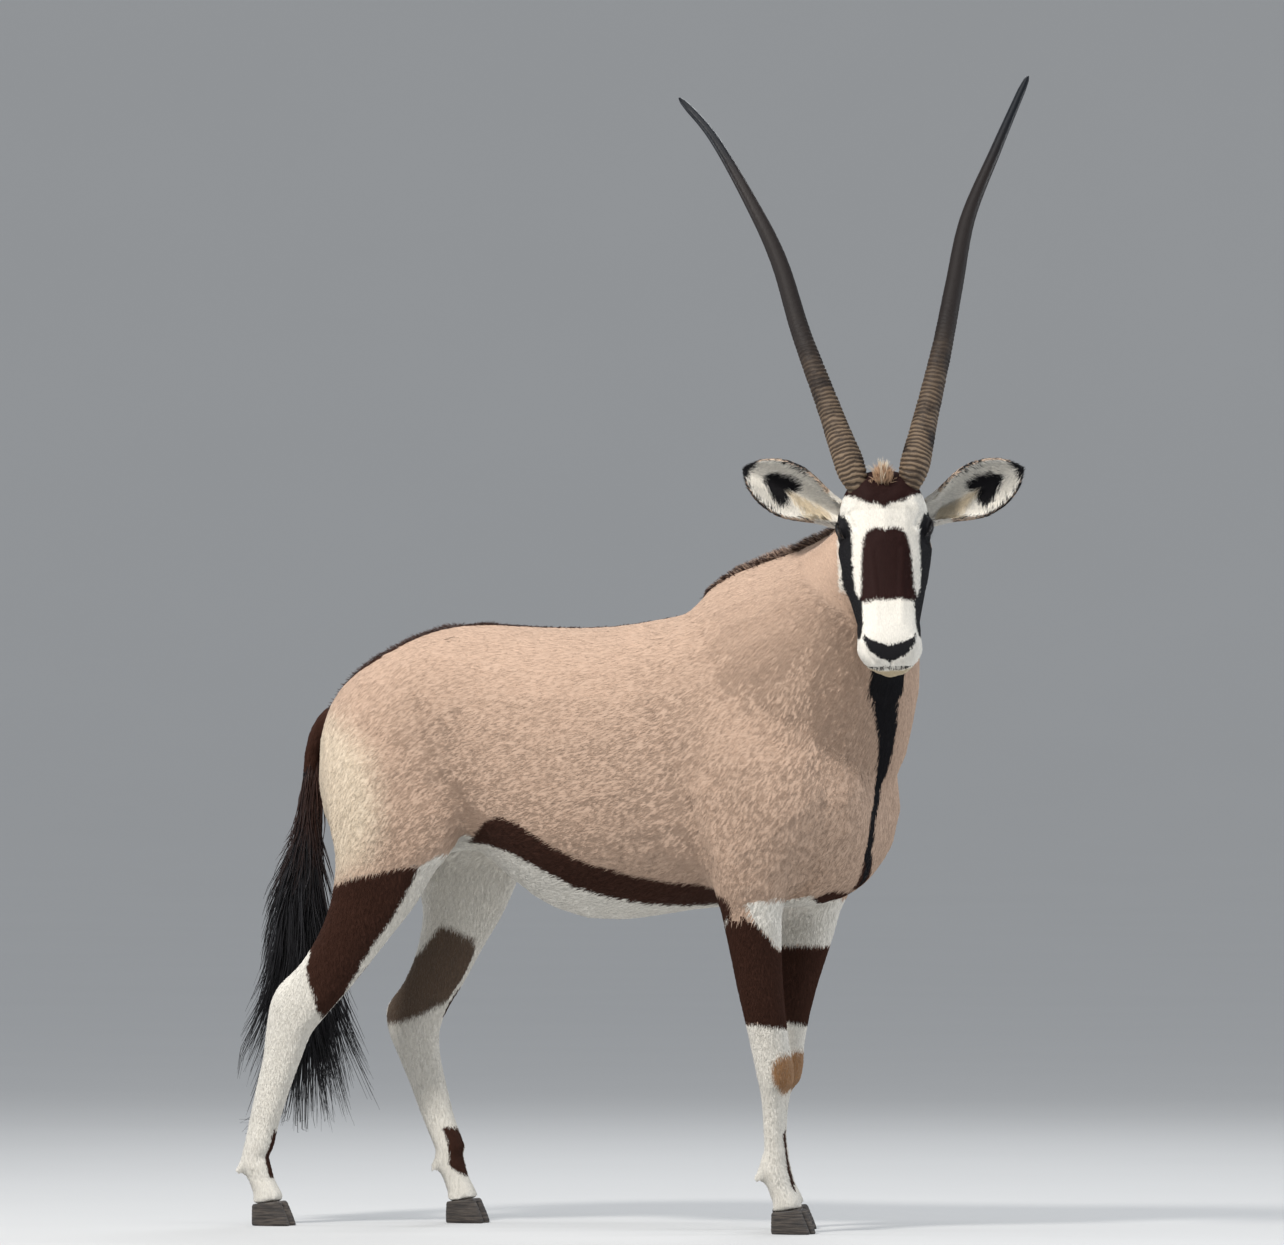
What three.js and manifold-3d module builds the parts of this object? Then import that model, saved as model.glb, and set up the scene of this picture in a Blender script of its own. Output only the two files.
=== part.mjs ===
// An adult gemsbok (Oryx gazella), life size, standing with its head turned to look to its right.
// Millimetres. +X runs towards the chest, +Y to the animal's left and +Z up from the ground.
import * as THREE from "three";
import { mergeVertices } from "three/addons/utils/BufferGeometryUtils.js";
import Module from "manifold-3d";

const wasm = await Module();
wasm.setup();

// Driving dimensions
const GAP = 0.3; // between neighbouring pieces
const HEAD_TURN = 68; // degrees that the head looks to the right of the body
const HEAD_DROOP = 60; // degrees that the nose points below level
const HEAD_ROLL = 2; // degrees that the poll leans to the animal's right
const FACE_AT = [580, -183, 1357]; // a point between the eyes, from which the head is laid out
const EYE_RADIUS = 20;
const EYE_SPREAD = 72; // from the midline to the middle of an eyeball
const HORN_FOOT = [-119, 42]; // along the head and above its middle line
const HORN_RINGS = 16;
const HORN_SIDES = 12;
const RINGED_SHARE = 0.46;
const EAR_LENGTH = 222;
const EAR_HALF_WIDTH = 54;
const EAR_WALL = 5;
const FETLOCK_HEIGHT = 120;
const CLAW_HALF_WIDTH = 16;
const CLEFT = 2.5; // between the two claws of a foot
const TAIL_LOCKS = 30;
const MANE_LOCKS = 38;

const COAT = { tan: 0xc9a78c, white: 0xeae4d8, dark: 0x2f1c14, black: 0x17130f };
const finish = (color, roughness) => new THREE.MeshStandardMaterial({ color, roughness, metalness: 0 });
const TAN_COAT = finish(COAT.tan, 0.9);
const WHITE_COAT = finish(COAT.white, 0.9);
const DARK_COAT = finish(COAT.dark, 0.9);
const BLACK_HAIR = finish(COAT.black, 0.75);
const HORN = finish(0x3b3028, 0.6);
const HOOF = finish(0x241f1c, 0.55);
const EYE = finish(0x120b08, 0.08);

const vec = (x, y, z) => new THREE.Vector3(x, y, z);
const mix = THREE.MathUtils.lerp;
const radians = THREE.MathUtils.degToRad;

// The same draw of numbers every time
let drawn = 7;
function chance() {
  drawn = (drawn * 16807) % 2147483647;
  return drawn / 2147483647;
}
const vary = (value, share) => value * (1 + share * (2 * chance() - 1));

// Values between the stations of a body, smooth and with uneven spacing allowed
function between(rows, places, at) {
  let i = 0;
  while (i < places.length - 2 && at > places[i + 1]) i += 1;
  const span = places[i + 1] - places[i];
  const t = (at - places[i]) / span;
  const slope = (k, column) => {
    const a = Math.max(k - 1, 0);
    const b = Math.min(k + 1, rows.length - 1);
    return (rows[b][column] - rows[a][column]) / (places[b] - places[a]);
  };
  return rows[i].map((value, column) => {
    const next = rows[i + 1][column];
    const start = slope(i, column) * span;
    const end = slope(i + 1, column) * span;
    const cubic = value * (2 * t ** 3 - 3 * t ** 2 + 1) + next * (3 * t ** 2 - 2 * t ** 3);
    return cubic + start * (t ** 3 - 2 * t ** 2 + t) + end * (t ** 3 - t ** 2);
  });
}

// One station of a body: a point on its top line, the point under it on its bottom line, its half width,
// how far up the widest place lies (0 to 1) and how square the section is (2 is an ellipse).
const station = (top, bottom, half, level = 0.5, square = 2.2) => [...top, ...bottom, half, level, square];

// The rings of a body through its stations, with so many steps from each station to the next
function ringsOf(stations, steps) {
  const middle = (s) => vec((s[0] + s[3]) / 2, (s[1] + s[4]) / 2, (s[2] + s[5]) / 2);
  const tall = (s) => vec(s[0] - s[3], s[1] - s[4], s[2] - s[5]).length();
  const places = [0];
  for (let i = 1; i < stations.length; i += 1) {
    const along = middle(stations[i]).distanceTo(middle(stations[i - 1]));
    const swelling = Math.abs(tall(stations[i]) - tall(stations[i - 1])) / 4;
    places.push(places[i - 1] + Math.hypot(along, swelling) + 0.01);
  }
  const rings = [];
  for (let i = 0; i < stations.length - 1; i += 1) {
    for (let k = 0; k < steps; k += 1) {
      rings.push(between(stations, places, mix(places[i], places[i + 1], k / steps)));
    }
  }
  rings.push(stations[stations.length - 1]);
  return rings.map((s, i) => {
    const back = middle(rings[Math.max(i - 1, 0)]);
    const ahead = middle(rings[Math.min(i + 1, rings.length - 1)]);
    const top = vec(s[0], s[1], s[2]);
    const bottom = vec(s[3], s[4], s[5]);
    const up = top.clone().sub(bottom).normalize();
    const side = up.clone().cross(ahead.sub(back)).normalize();
    return { top, bottom, up, side, half: s[6], level: s[7], square: s[8] };
  });
}

// A closed skin over rings of points that all have the same number of points
function skinOver(rings) {
  const sides = rings[0].length;
  const points = rings.flat();
  const faces = [];
  rings.slice(1).forEach((_, i) => {
    for (let k = 0; k < sides; k += 1) {
      const next = (k + 1) % sides;
      const [a, b] = [i * sides + k, i * sides + next];
      faces.push(a, b, b + sides, a, b + sides, a + sides);
    }
  });
  [rings[0], rings[rings.length - 1]].forEach((ring, last) => {
    const centre = ring.reduce((sum, p) => sum.add(p), vec(0, 0, 0)).divideScalar(sides);
    const first = last ? (rings.length - 1) * sides : 0;
    for (let k = 0; k < sides; k += 1) {
      const [a, b] = [first + k, first + ((k + 1) % sides)];
      faces.push(points.length, last ? a : b, last ? b : a);
    }
    points.push(centre);
  });
  // The faces look outwards whichever way the rings run
  let volume = 0;
  for (let i = 0; i < faces.length; i += 3) {
    const [a, b, c] = faces.slice(i, i + 3).map((n) => points[n]);
    volume += a.dot(b.clone().cross(c));
  }
  return new THREE.BufferGeometry().setFromPoints(points).setIndex(volume < 0 ? faces.reverse() : faces);
}

// A body of rounded sections through its stations
function loft(stations, steps, sides) {
  const rings = ringsOf(stations, steps).map(({ top, bottom, up, side, half, level, square }) => {
    const centre = bottom.clone().lerp(top, level);
    const [above, below] = [centre.distanceTo(top), centre.distanceTo(bottom)];
    return Array.from({ length: sides }, (_, k) => {
      const angle = (2 * Math.PI * k) / sides;
      const [c, s] = [Math.cos(angle), Math.sin(angle)];
      const across = half * Math.sign(c) * Math.abs(c) ** (2 / square);
      const rise = (s > 0 ? above : -below) * Math.abs(s) ** (2 / square);
      return centre.clone().addScaledVector(side, across).addScaledVector(up, rise);
    });
  });
  return skinOver(rings);
}

// Solids that can be joined and cut
function solid(geometry) {
  const plain = new THREE.BufferGeometry().setAttribute("position", geometry.getAttribute("position"));
  const merged = mergeVertices(plain.setIndex(geometry.index), 1e-4);
  const vertProperties = merged.getAttribute("position").array;
  return new wasm.Manifold(new wasm.Mesh({ numProp: 3, vertProperties, triVerts: new Uint32Array(merged.index.array) }));
}
const joined = (solids) => solids.reduce((all, one) => all.add(one));
// A body grown on every side by about the gap, to cut its neighbours clear of it
const AROUND = [[1, 1, 1], [1, 1, -1], [1, -1, 1], [-1, 1, 1], [1, -1, -1], [-1, 1, -1], [-1, -1, 1], [-1, -1, -1]];
const grown = (body) => joined(AROUND.map((way) => body.translate(way.map((step) => step * GAP * 0.8))));
const largest = (whole) => whole.decompose().sort((a, b) => b.volume() - a.volume())[0];

// A block whose near face is at a point and which reaches away from it along a direction
function blockBeyond(point, direction, [wide, tall], reach) {
  const block = new THREE.BoxGeometry(wide, tall, reach).translate(0, 0, reach / 2);
  block.applyQuaternion(new THREE.Quaternion().setFromUnitVectors(vec(0, 0, 1), direction));
  return block.translate(point.x, point.y, point.z);
}

// Parts a body at a plane, with the gap between the two pieces
function part(whole, point, direction, faceSize, reach) {
  const half = direction.clone().multiplyScalar(GAP / 2);
  const beyond = solid(blockBeyond(point.clone().add(half), direction, faceSize, reach));
  const widerFace = faceSize.map((length) => length + 2 * GAP);
  const wider = solid(blockBeyond(point.clone().sub(half), direction, widerFace, reach + 2 * GAP));
  return { piece: whole.intersect(beyond), rest: whole.subtract(wider), beyond, wider };
}

// Torso: one row for each section from the rump to the breast
const TORSO = [
  // x, top, bottom, half width, level of the widest place
  [-662, 962, 850, 46, 0.5],
  [-652, 1012, 790, 92, 0.5],
  [-625, 1062, 745, 132, 0.52],
  [-575, 1108, 718, 163, 0.5],
  [-500, 1150, 716, 184, 0.5],
  [-420, 1178, 730, 192, 0.52],
  [-335, 1188, 738, 194, 0.52],
  [-250, 1184, 676, 204, 0.48],
  [-165, 1181, 622, 214, 0.44],
  [-80, 1182, 604, 218, 0.42],
  [10, 1192, 610, 214, 0.42],
  [100, 1208, 624, 204, 0.42],
  [190, 1212, 632, 190, 0.42],
  [280, 1190, 630, 178, 0.42],
  [360, 1130, 634, 170, 0.42],
  [420, 1060, 652, 158, 0.45],
  [466, 990, 688, 146, 0.5],
  [498, 934, 744, 120, 0.5],
  [513, 890, 796, 66, 0.5],
];
const torsoLoft = loft(
  TORSO.map(([x, top, bottom, half, level]) => station([x, 0, top], [x, 0, bottom], half, level, 2.25)),
  2,
  24,
);

// Neck: crest point, throat point and half width, from the shoulders to the back of the head
const NECK = [
  [[60, 0, 1150], [420, 0, 780], 130],
  [[130, 0, 1238], [498, 0, 840], 168],
  [[225, -14, 1286], [548, -36, 932], 162],
  [[330, -44, 1316], [576, -78, 1040], 142],
  [[425, -88, 1350], [580, -100, 1135], 118],
  [[486, -116, 1396], [570, -98, 1222], 96],
  [[524, -128, 1432], [560, -92, 1296], 78],
  [[548, -138, 1446], [560, -104, 1340], 56],
];
const neckStations = NECK.map(([crest, throat, half]) => station(crest, throat, half, 0.5, 2.1));
const neckLoft = loft(neckStations, 2, 22);

// Legs: height, back and front of the leg, its middle line and half width, one row for each level section
const legStation = ([z, back, front, y, half]) => station([front, y, z], [back, y, z], half, 0.5, 2.2);
const FORELEG_RIGHT = [
  [1090, 120, 250, -95, 40],
  [1010, 110, 372, -122, 51],
  [915, 128, 444, -138, 66],
  [830, 148, 452, -143, 66],
  [750, 172, 420, -141, 62],
  [690, 196, 376, -136, 56],
  [633, 216, 348, -130, 50],
  [562, 231, 343, -125, 45],
  [480, 246, 346, -120, 39],
  [420, 260, 350, -116, 35],
  [362, 274, 355, -112, 33],
  [322, 283, 362, -110, 34],
  [293, 290, 361, -109, 33],
  [275, 294, 345, -108, 27],
  [235, 298, 341, -107, 22],
  [180, 301, 341, -106, 21],
  [145, 302, 347, -105, 25],
];
const FORELEG_LEFT = [
  [1090, 120, 250, 95, 40],
  [1010, 110, 390, 122, 52],
  [915, 128, 470, 134, 66],
  [830, 150, 494, 137, 67],
  [750, 180, 462, 138, 64],
  [690, 210, 402, 136, 56],
  [630, 232, 370, 130, 50],
  [560, 238, 350, 125, 45],
  [478, 226, 324, 119, 39],
  [418, 220, 309, 114, 35],
  [360, 217, 298, 110, 33],
  [320, 217, 297, 107, 34],
  [291, 220, 290, 105, 33],
  [273, 221, 272, 104, 27],
  [233, 222, 265, 102, 22],
  [180, 223, 263, 101, 21],
  [145, 223, 268, 100, 25],
];
const HINDLEG_RIGHT = [
  [1080, -560, -400, -104, 40],
  [1000, -600, -360, -124, 54],
  [900, -618, -328, -134, 68],
  [810, -610, -318, -138, 66],
  [745, -598, -336, -140, 58],
  [690, -596, -386, -140, 52],
  [634, -608, -420, -138, 48],
  [578, -632, -468, -136, 43],
  [518, -674, -518, -134, 37],
  [469, -730, -560, -132, 33],
  [430, -744, -600, -131, 33],
  [378, -749, -650, -130, 30],
  [330, -753, -671, -130, 27],
  [268, -768, -697, -130, 25],
  [200, -783, -721, -130, 24],
  [145, -794, -735, -130, 28],
];
const HINDLEG_LEFT = [
  [1080, -560, -400, 104, 40],
  [1000, -596, -356, 124, 54],
  [900, -606, -312, 134, 68],
  [810, -588, -290, 138, 66],
  [745, -560, -290, 140, 58],
  [680, -540, -318, 140, 52],
  [610, -524, -350, 138, 47],
  [538, -538, -396, 136, 42],
  [475, -566, -430, 134, 36],
  [428, -604, -462, 132, 33],
  [395, -602, -480, 131, 33],
  [365, -592, -486, 130, 31],
  [325, -572, -483, 130, 28],
  [276, -549, -472, 130, 25],
  [210, -522, -455, 130, 24],
  [145, -492, -430, 130, 28],
];

// Pastern and two claws under a fetlock, which stands at a point on the leg
function foot(fetlockX, y) {
  const level = (z, ahead, fore, back, half) => legStation([z, fetlockX + ahead - back, fetlockX + ahead + fore, y, half]);
  const pastern = loft(
    [
      level(152, -2, 22, 24, 24),
      level(FETLOCK_HEIGHT, 0, 29, 33, 29),
      level(92, 12, 24, 27, 27),
      level(62, 26, 27, 29, 30),
      level(40, 32, 26, 26, 27),
    ],
    1,
    12,
  );
  const claws = [-1, 1].map((hand) => {
    const middle = y + hand * (CLAW_HALF_WIDTH + 2);
    const slice = (z, ahead, fore, back, half) => {
      const x = fetlockX + ahead;
      return station([x + fore, middle - hand * 3, z], [x - back, middle, z], half, 0.45, 2.3);
    };
    return loft(
      [slice(60, 26, 20, 22, 12), slice(46, 29, 31, 30, 15.5), slice(18, 31, 42, 33, 16.5), slice(0, 32, 48, 34, 16)],
      1,
      10,
    );
  });
  const dewclaws = [-1, 1].map((hand) =>
    new THREE.SphereGeometry(9, 6, 4).scale(1, 0.85, 1.4).translate(fetlockX - 32, y + hand * 16, FETLOCK_HEIGHT - 12),
  );
  return { pastern, claws, dewclaws };
}

const LEGS = [
  { name: "foreleg_right", rows: FORELEG_RIGHT, fetlock: 322, y: -105, kneeCut: 262, top: 612, span: [170, 460] },
  { name: "foreleg_left", rows: FORELEG_LEFT, fetlock: 244, y: 100, kneeCut: 262, top: 612, span: [170, 460] },
  { name: "hindleg_right", rows: HINDLEG_RIGHT, fetlock: -768, y: -130, kneeCut: 352, top: 700, span: [-870, -300] },
  { name: "hindleg_left", rows: HINDLEG_LEFT, fetlock: -462, y: 130, kneeCut: 340, top: 700, span: [-680, -290] },
];

// The head, built nose along +X with its face up (+Z) and its left at +Y, from midway between the eyes
const HEAD = [
  // x, top, bottom, half width, level of the widest place, squareness
  [-138, 20, -40, 34, 0.5, 2.2],
  [-118, 46, -76, 62, 0.5, 2.2],
  [-88, 60, -104, 78, 0.55, 2.3],
  [-50, 66, -124, 87, 0.6, 2.4],
  [-10, 62, -131, 90, 0.62, 2.4],
  [30, 55, -127, 88, 0.6, 2.4],
  [75, 48, -114, 81, 0.58, 2.4],
  [120, 41, -99, 73, 0.56, 2.5],
  [165, 35, -81, 64, 0.54, 2.8],
  [205, 29, -62, 58, 0.45, 3.2],
  [236, 24, -52, 61, 0.42, 3.2],
  [258, 14, -50, 58, 0.42, 3],
  [275, -2, -49, 47, 0.45, 2.6],
  [285, -18, -44, 26, 0.5, 2.3],
];
const CHIN = [
  [96, -56, -104, 44, 0.5, 2.2],
  [150, -44, -98, 52, 0.55, 2.4],
  [195, -40, -90, 50, 0.6, 2.6],
  [232, -42, -86, 47, 0.65, 2.7],
  [258, -44, -84, 42, 0.65, 2.6],
  [274, -48, -74, 27, 0.6, 2.3],
];
const headStation = ([x, top, bottom, half, level, square]) =>
  station([x, 0, top], [x, 0, bottom], half, level, square);

// Where a point of the head lies on the animal
const headPose = new THREE.Matrix4()
  .makeTranslation(...FACE_AT)
  .multiply(new THREE.Matrix4().makeRotationZ(radians(-HEAD_TURN)))
  .multiply(new THREE.Matrix4().makeRotationY(radians(HEAD_DROOP)))
  .multiply(new THREE.Matrix4().makeRotationZ(radians(HEAD_ROLL)));
const onAnimal = (geometry) => geometry.applyMatrix4(headPose);
const headPoint = (x, y, z) => vec(x, y, z).applyMatrix4(headPose);
const headWay = (x, y, z) => vec(x, y, z).transformDirection(headPose);

// Eyes: each ball looks out to its own side and a little forwards
const eyeCentre = (hand) => vec(-13, hand * EYE_SPREAD, 10);
const eyeWay = (hand) => vec(0.36, hand * 0.9, 0.25).normalize();
const eyeball = (hand, radius, around, along) => {
  const centre = eyeCentre(hand);
  return new THREE.SphereGeometry(radius, around, along).translate(centre.x, centre.y, centre.z);
};
// The opening between the lids: an almond that runs out along the way the eye looks
function lidOpening(hand) {
  const almond = new THREE.Shape();
  almond.moveTo(-19, -3);
  almond.quadraticCurveTo(-2, 15, 19, 1);
  almond.quadraticCurveTo(2, -13, -19, -3);
  const opening = new THREE.ExtrudeGeometry(almond, { depth: 40, bevelEnabled: false, curveSegments: 5 });
  const forward = vec(1, 0, -0.12);
  const out = eyeWay(hand);
  const up = out.clone().cross(forward).multiplyScalar(-hand).normalize();
  const along = up.clone().cross(out).multiplyScalar(hand).normalize();
  const basis = new THREE.Matrix4().makeBasis(along.multiplyScalar(hand), up, out);
  opening.applyMatrix4(basis);
  const centre = eyeCentre(hand).addScaledVector(out, 6);
  return opening.translate(centre.x, centre.y, centre.z);
}

// Nostrils: a slanting comma cut into either side of the nose
const nostril = (hand) =>
  new THREE.SphereGeometry(1, 10, 7)
    .scale(17, 5.5, 8)
    .rotateZ(radians(hand * 38))
    .rotateY(radians(38))
    .translate(263, hand * 31, -2);

// The line of the mouth: a thin wedge between the lips that does not reach the middle of the muzzle
function mouthLine() {
  const slit = loft([station([190, 0, -50.6], [190, 0, -51.4], 80), station([300, 0, -44.5], [300, 0, -48], 80)], 1, 4);
  const inside = HEAD.slice(8).map(([x, top, bottom, half, level, square]) =>
    headStation([x - 8, top, bottom - 30, half - 13, level, square]),
  );
  return solid(slit).subtract(solid(loft(inside, 1, 16)));
}

// Horns: how far along from the poll, how far aside, and their thickness at shares of the length
const HORNS = {
  right: [[-52, 42], [0, 58], [166, 102], [323, 144], [494, 180], [633, 227], [802, 297], [905, 360]],
  left: [[-52, 42], [0, 60], [134, 93], [282, 129], [427, 159], [585, 193], [748, 255], [880, 307], [934, 329]],
};
const HORN_RADII = [[0, 28.5], [0.18, 23], [0.36, 18.8], [0.58, 15.7], [0.74, 12], [0.88, 9.2], [0.97, 7.4], [1, 4]];
const hornSag = (rise) => (rise < 0 ? 0.55 * rise : -65 * (rise / 920) ** 2);
function hornRadius(share) {
  const i = HORN_RADII.findIndex(([place]) => place >= share);
  if (i < 1) return HORN_RADII[0][1];
  const [[a, before], [b, after]] = [HORN_RADII[i - 1], HORN_RADII[i]];
  return mix(before, after, (share - a) / (b - a));
}
function horn(hand, stations) {
  const path = new THREE.CatmullRomCurve3(
    stations.map(([rise, aside]) => vec(HORN_FOOT[0] - rise, hand * aside, HORN_FOOT[1] + hornSag(rise))),
  );
  const ringAt = (share, ridge) => {
    const centre = path.getPointAt(share);
    const way = path.getTangentAt(share);
    const side = vec(0, 0, 1).cross(way).normalize();
    const up = way.clone().cross(side);
    const radius = hornRadius(share) + ridge;
    return Array.from({ length: HORN_SIDES }, (_, k) => {
      const angle = (2 * Math.PI * k) / HORN_SIDES;
      const spot = centre.clone().addScaledVector(side, radius * Math.cos(angle));
      return spot.addScaledVector(up, radius * Math.sin(angle));
    });
  };
  const rings = [];
  for (let i = 0; i < HORN_RINGS; i += 1) {
    const start = mix(0.04, RINGED_SHARE, i / HORN_RINGS);
    const next = (0.6 * (RINGED_SHARE - 0.04)) / HORN_RINGS;
    rings.push(ringAt(i ? start : 0, -0.8), ringAt(start + next, mix(2, 0.8, i / HORN_RINGS)));
  }
  const smooth = 8;
  for (let i = 0; i <= smooth; i += 1) rings.push(ringAt(mix(RINGED_SHARE, 0.985, i / smooth), 0));
  return skinOver([...rings, ringAt(1, 0)]);
}

// Ears: a leaf-shaped cup with its opening forwards. share of the length, half width, depth, half opening
const EAR = [
  [0, 0.42, 24, 158],
  [0.12, 0.54, 28, 140],
  [0.26, 0.74, 30, 112],
  [0.42, 0.92, 28, 94],
  [0.58, 1, 24, 84],
  [0.72, 0.99, 19, 78],
  [0.85, 0.87, 14, 74],
  [0.94, 0.62, 9, 72],
  [1, 0.26, 5, 72],
];
function ear(hand) {
  const root = vec(-50, hand * 58, -30);
  const along = vec(hand < 0 ? -0.52 : -0.42, hand * 0.86, 0.02).normalize();
  const out = vec(0.42, hand * 0.16, 0.9).normalize();
  const open = out.clone().addScaledVector(along, -out.dot(along)).normalize();
  const wide = along.clone().cross(open);
  const rings = EAR.map(([share, width, depth, half]) => {
    const spread = radians(half);
    const middle = root.clone().addScaledVector(along, share * EAR_LENGTH);
    const outline = (wall) => (v) => {
      const angle = v * spread;
      const across = (EAR_HALF_WIDTH * width - wall * 0.6) * Math.sin(angle) / Math.sin(Math.min(spread, Math.PI / 2));
      const behind = ((depth - wall) * (Math.cos(angle) - Math.cos(spread))) / (1 - Math.cos(spread));
      return middle.clone().addScaledVector(wide, across).addScaledVector(open, -behind + (wall ? 1.2 : 0));
    };
    const steps = [-1, -0.72, -0.4, 0, 0.4, 0.72, 1];
    return [...steps.map(outline(0)), ...steps.reverse().map(outline(EAR_WALL))];
  });
  return skinOver(rings);
}

// A flat lock of hair from a root, along a way, bending towards another, with its flat side facing a third
function lock(root, way, bend, flat, length, width, thick) {
  const shares = [0, 0.55, 1];
  const narrowing = [1, 0.86, 0.14];
  const rows = shares.map((share, i) => {
    const middle = root.clone().addScaledVector(way, length * share).addScaledVector(bend, length * share ** 2);
    const half = flat.clone().multiplyScalar((thick / 2) * Math.max(narrowing[i], 0.45));
    const [top, bottom] = [middle.clone().add(half), middle.clone().sub(half)];
    return station(top.toArray(), bottom.toArray(), (width / 2) * narrowing[i], 0.5, 2);
  });
  return loft(rows, 1, 4);
}

// Mane: short upright locks along the crest of the neck, in two staggered rows
function maneLocks() {
  const rings = ringsOf(neckStations, 12);
  const [first, last] = [12 * 1.15, 12 * 6.1];
  return Array.from({ length: MANE_LOCKS }, (_, i) => {
    const place = mix(first, last, i / (MANE_LOCKS - 1));
    const ring = rings[Math.round(place)];
    const ahead = rings[Math.round(place) + 1].top.clone().sub(ring.top).normalize();
    const tall = vary(mix(20, 26, i / MANE_LOCKS), 0.15);
    const root = ring.top.clone().addScaledVector(ring.up, -14).addScaledVector(ring.side, i % 2 ? 4 : -4);
    const way = ring.up.clone().addScaledVector(ahead, 0.1).normalize();
    return lock(root, way, ahead.clone().multiplyScalar(-0.28), ring.side, tall + 14, vary(24, 0.15), 9);
  });
}

// Forelock: a small tuft on the poll between the horns
function pollLocks() {
  return Array.from({ length: 7 }, (_, i) => {
    const aside = (i - 3) * 5.5;
    const root = headPoint(-96, aside, 40);
    const way = headWay(-0.55, aside / 60, 0.83);
    return lock(root, way, headWay(0.1, aside / 40, 0).multiplyScalar(0.3), headWay(0, 0.3, 1), vary(42, 0.15), 13, 8);
  });
}

// Tail: a slim dock that hangs from the rump, and the long black hair of its lower half
const DOCK = [
  // x, z, radius
  [-618, 1012, 26],
  [-662, 1000, 25],
  [-692, 962, 21],
  [-706, 900, 18],
  [-712, 830, 16],
  [-713, 760, 15],
  [-712, 700, 12],
  [-712, 672, 6],
];
const dockCurve = new THREE.CatmullRomCurve3(DOCK.map(([x, z]) => vec(x, 0, z)));
function dock() {
  const rows = DOCK.map(([x, z, radius], i) => {
    const way = dockCurve.getTangent(i / (DOCK.length - 1));
    const out = vec(way.z, 0, -way.x).multiplyScalar(radius);
    const [top, bottom] = [vec(x, 0, z).sub(out), vec(x, 0, z).add(out)];
    return station(top.toArray(), bottom.toArray(), radius, 0.5, 2);
  });
  return loft(rows, 2, 10);
}
function tailLocks() {
  return Array.from({ length: TAIL_LOCKS }, (_, i) => {
    const share = i / (TAIL_LOCKS - 1);
    const angle = i * 2.39996;
    const out = vec(Math.cos(angle), Math.sin(angle), 0);
    const root = dockCurve.getPoint(mix(0.5, 0.97, share)).addScaledVector(out, 3);
    const way = vec(0.1 * out.x - 0.03, 0.07 * out.y + 0.02, -1);
    const bend = vec(mix(0.16, 0.28, chance()) * out.x - 0.02, 0.06 * out.y, 0);
    return lock(root, way, bend, out, vary(mix(360, 500, share), 0.14), vary(32, 0.2), 13);
  });
}

const group = new THREE.Group();
function place(name, made, material) {
  const shape = made.getMesh();
  const geometry = new THREE.BufferGeometry();
  geometry.setAttribute("position", new THREE.BufferAttribute(shape.vertProperties, 3));
  geometry.setIndex(new THREE.BufferAttribute(shape.triVerts, 1));
  const mesh = new THREE.Mesh(geometry, material);
  mesh.name = name;
  group.add(mesh);
}

// The flesh as one body
const feet = LEGS.map(({ fetlock, y }) => foot(fetlock, y));
const legSolids = LEGS.map(({ rows }, i) => {
  const { pastern, claws, dewclaws } = feet[i];
  return joined([loft(rows.map(legStation), 1, 12), pastern, ...claws, ...dewclaws].map(solid));
});
const headSolid = joined([loft(HEAD.map(headStation), 2, 22), loft(CHIN.map(headStation), 1, 16)].map(solid));
const lids = [-1, 1].map((hand) => solid(eyeball(hand, EYE_RADIUS + 4, 14, 9)).subtract(solid(lidOpening(hand))));
const sockets = [-1, 1].map((hand) => solid(eyeball(hand, EYE_RADIUS + GAP, 14, 9)));
const openEyes = joined([-1, 1].map((hand) => solid(lidOpening(hand))));
const nostrils = [-1, 1].map((hand) => solid(nostril(hand)));
const headLocal = headSolid.subtract(openEyes).add(joined(lids));
const headHollows = joined([...sockets, ...nostrils, mouthLine()]).transform(headPose.toArray());
const headWorld = headLocal.transform(headPose.toArray());
const torsoAndNeck = joined([solid(torsoLoft), solid(neckLoft)]);
let flesh = joined([torsoAndNeck, headWorld, ...legSolids]);

// Part the head from the neck behind the ears and the jaw
const headCut = part(flesh, headPoint(-135, 0, 20), headWay(0.9, 0, 0.437), [460, 460], 500);
flesh = headCut.rest;

// Part the neck from the torso between the withers and the breast
const neckCut = part(flesh, vec(320, 0, 1050), vec(0.72, 0, 0.694).normalize(), [560, 700], 700);
flesh = neckCut.rest;

// Part each leg under the body, then at the knee or hock, and its two claws at the coronet
const down = vec(0, 0, -1);
const cleft = (x, y) => solid(new THREE.BoxGeometry(240, CLEFT, 90).translate(x, y, 20));
LEGS.forEach(({ name, fetlock, y, kneeCut, top, span: [back, front] }) => {
  const root = vec((back + front) / 2, Math.sign(y) * 130, top);
  const cut = part(flesh, root, down, [front - back, 240], top + 50);
  flesh = cut.rest;
  const knee = part(cut.piece, vec(fetlock, y, kneeCut), down, [400, 300], kneeCut + 50);
  const coronet = part(knee.piece, vec(fetlock + 30, y, 46), vec(0.14, 0, -1).normalize(), [300, 200], 120);
  place(name + "_upper", largest(knee.rest), DARK_COAT);
  place(name + "_lower", largest(coronet.rest), WHITE_COAT);
  coronet.piece
    .subtract(cleft(fetlock, y))
    .decompose()
    .sort((a, b) => b.volume() - a.volume())
    .slice(0, 2)
    .sort((a, b) => Math.abs(a.boundingBox().min[1] + a.boundingBox().max[1]) - Math.abs(b.boundingBox().min[1] + b.boundingBox().max[1]))
    .forEach((claw, i) => place(`${name}_claw_${i ? "outer" : "inner"}`, claw, HOOF));
});
const torso = largest(flesh);
place("torso", torso, TAN_COAT);

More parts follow.
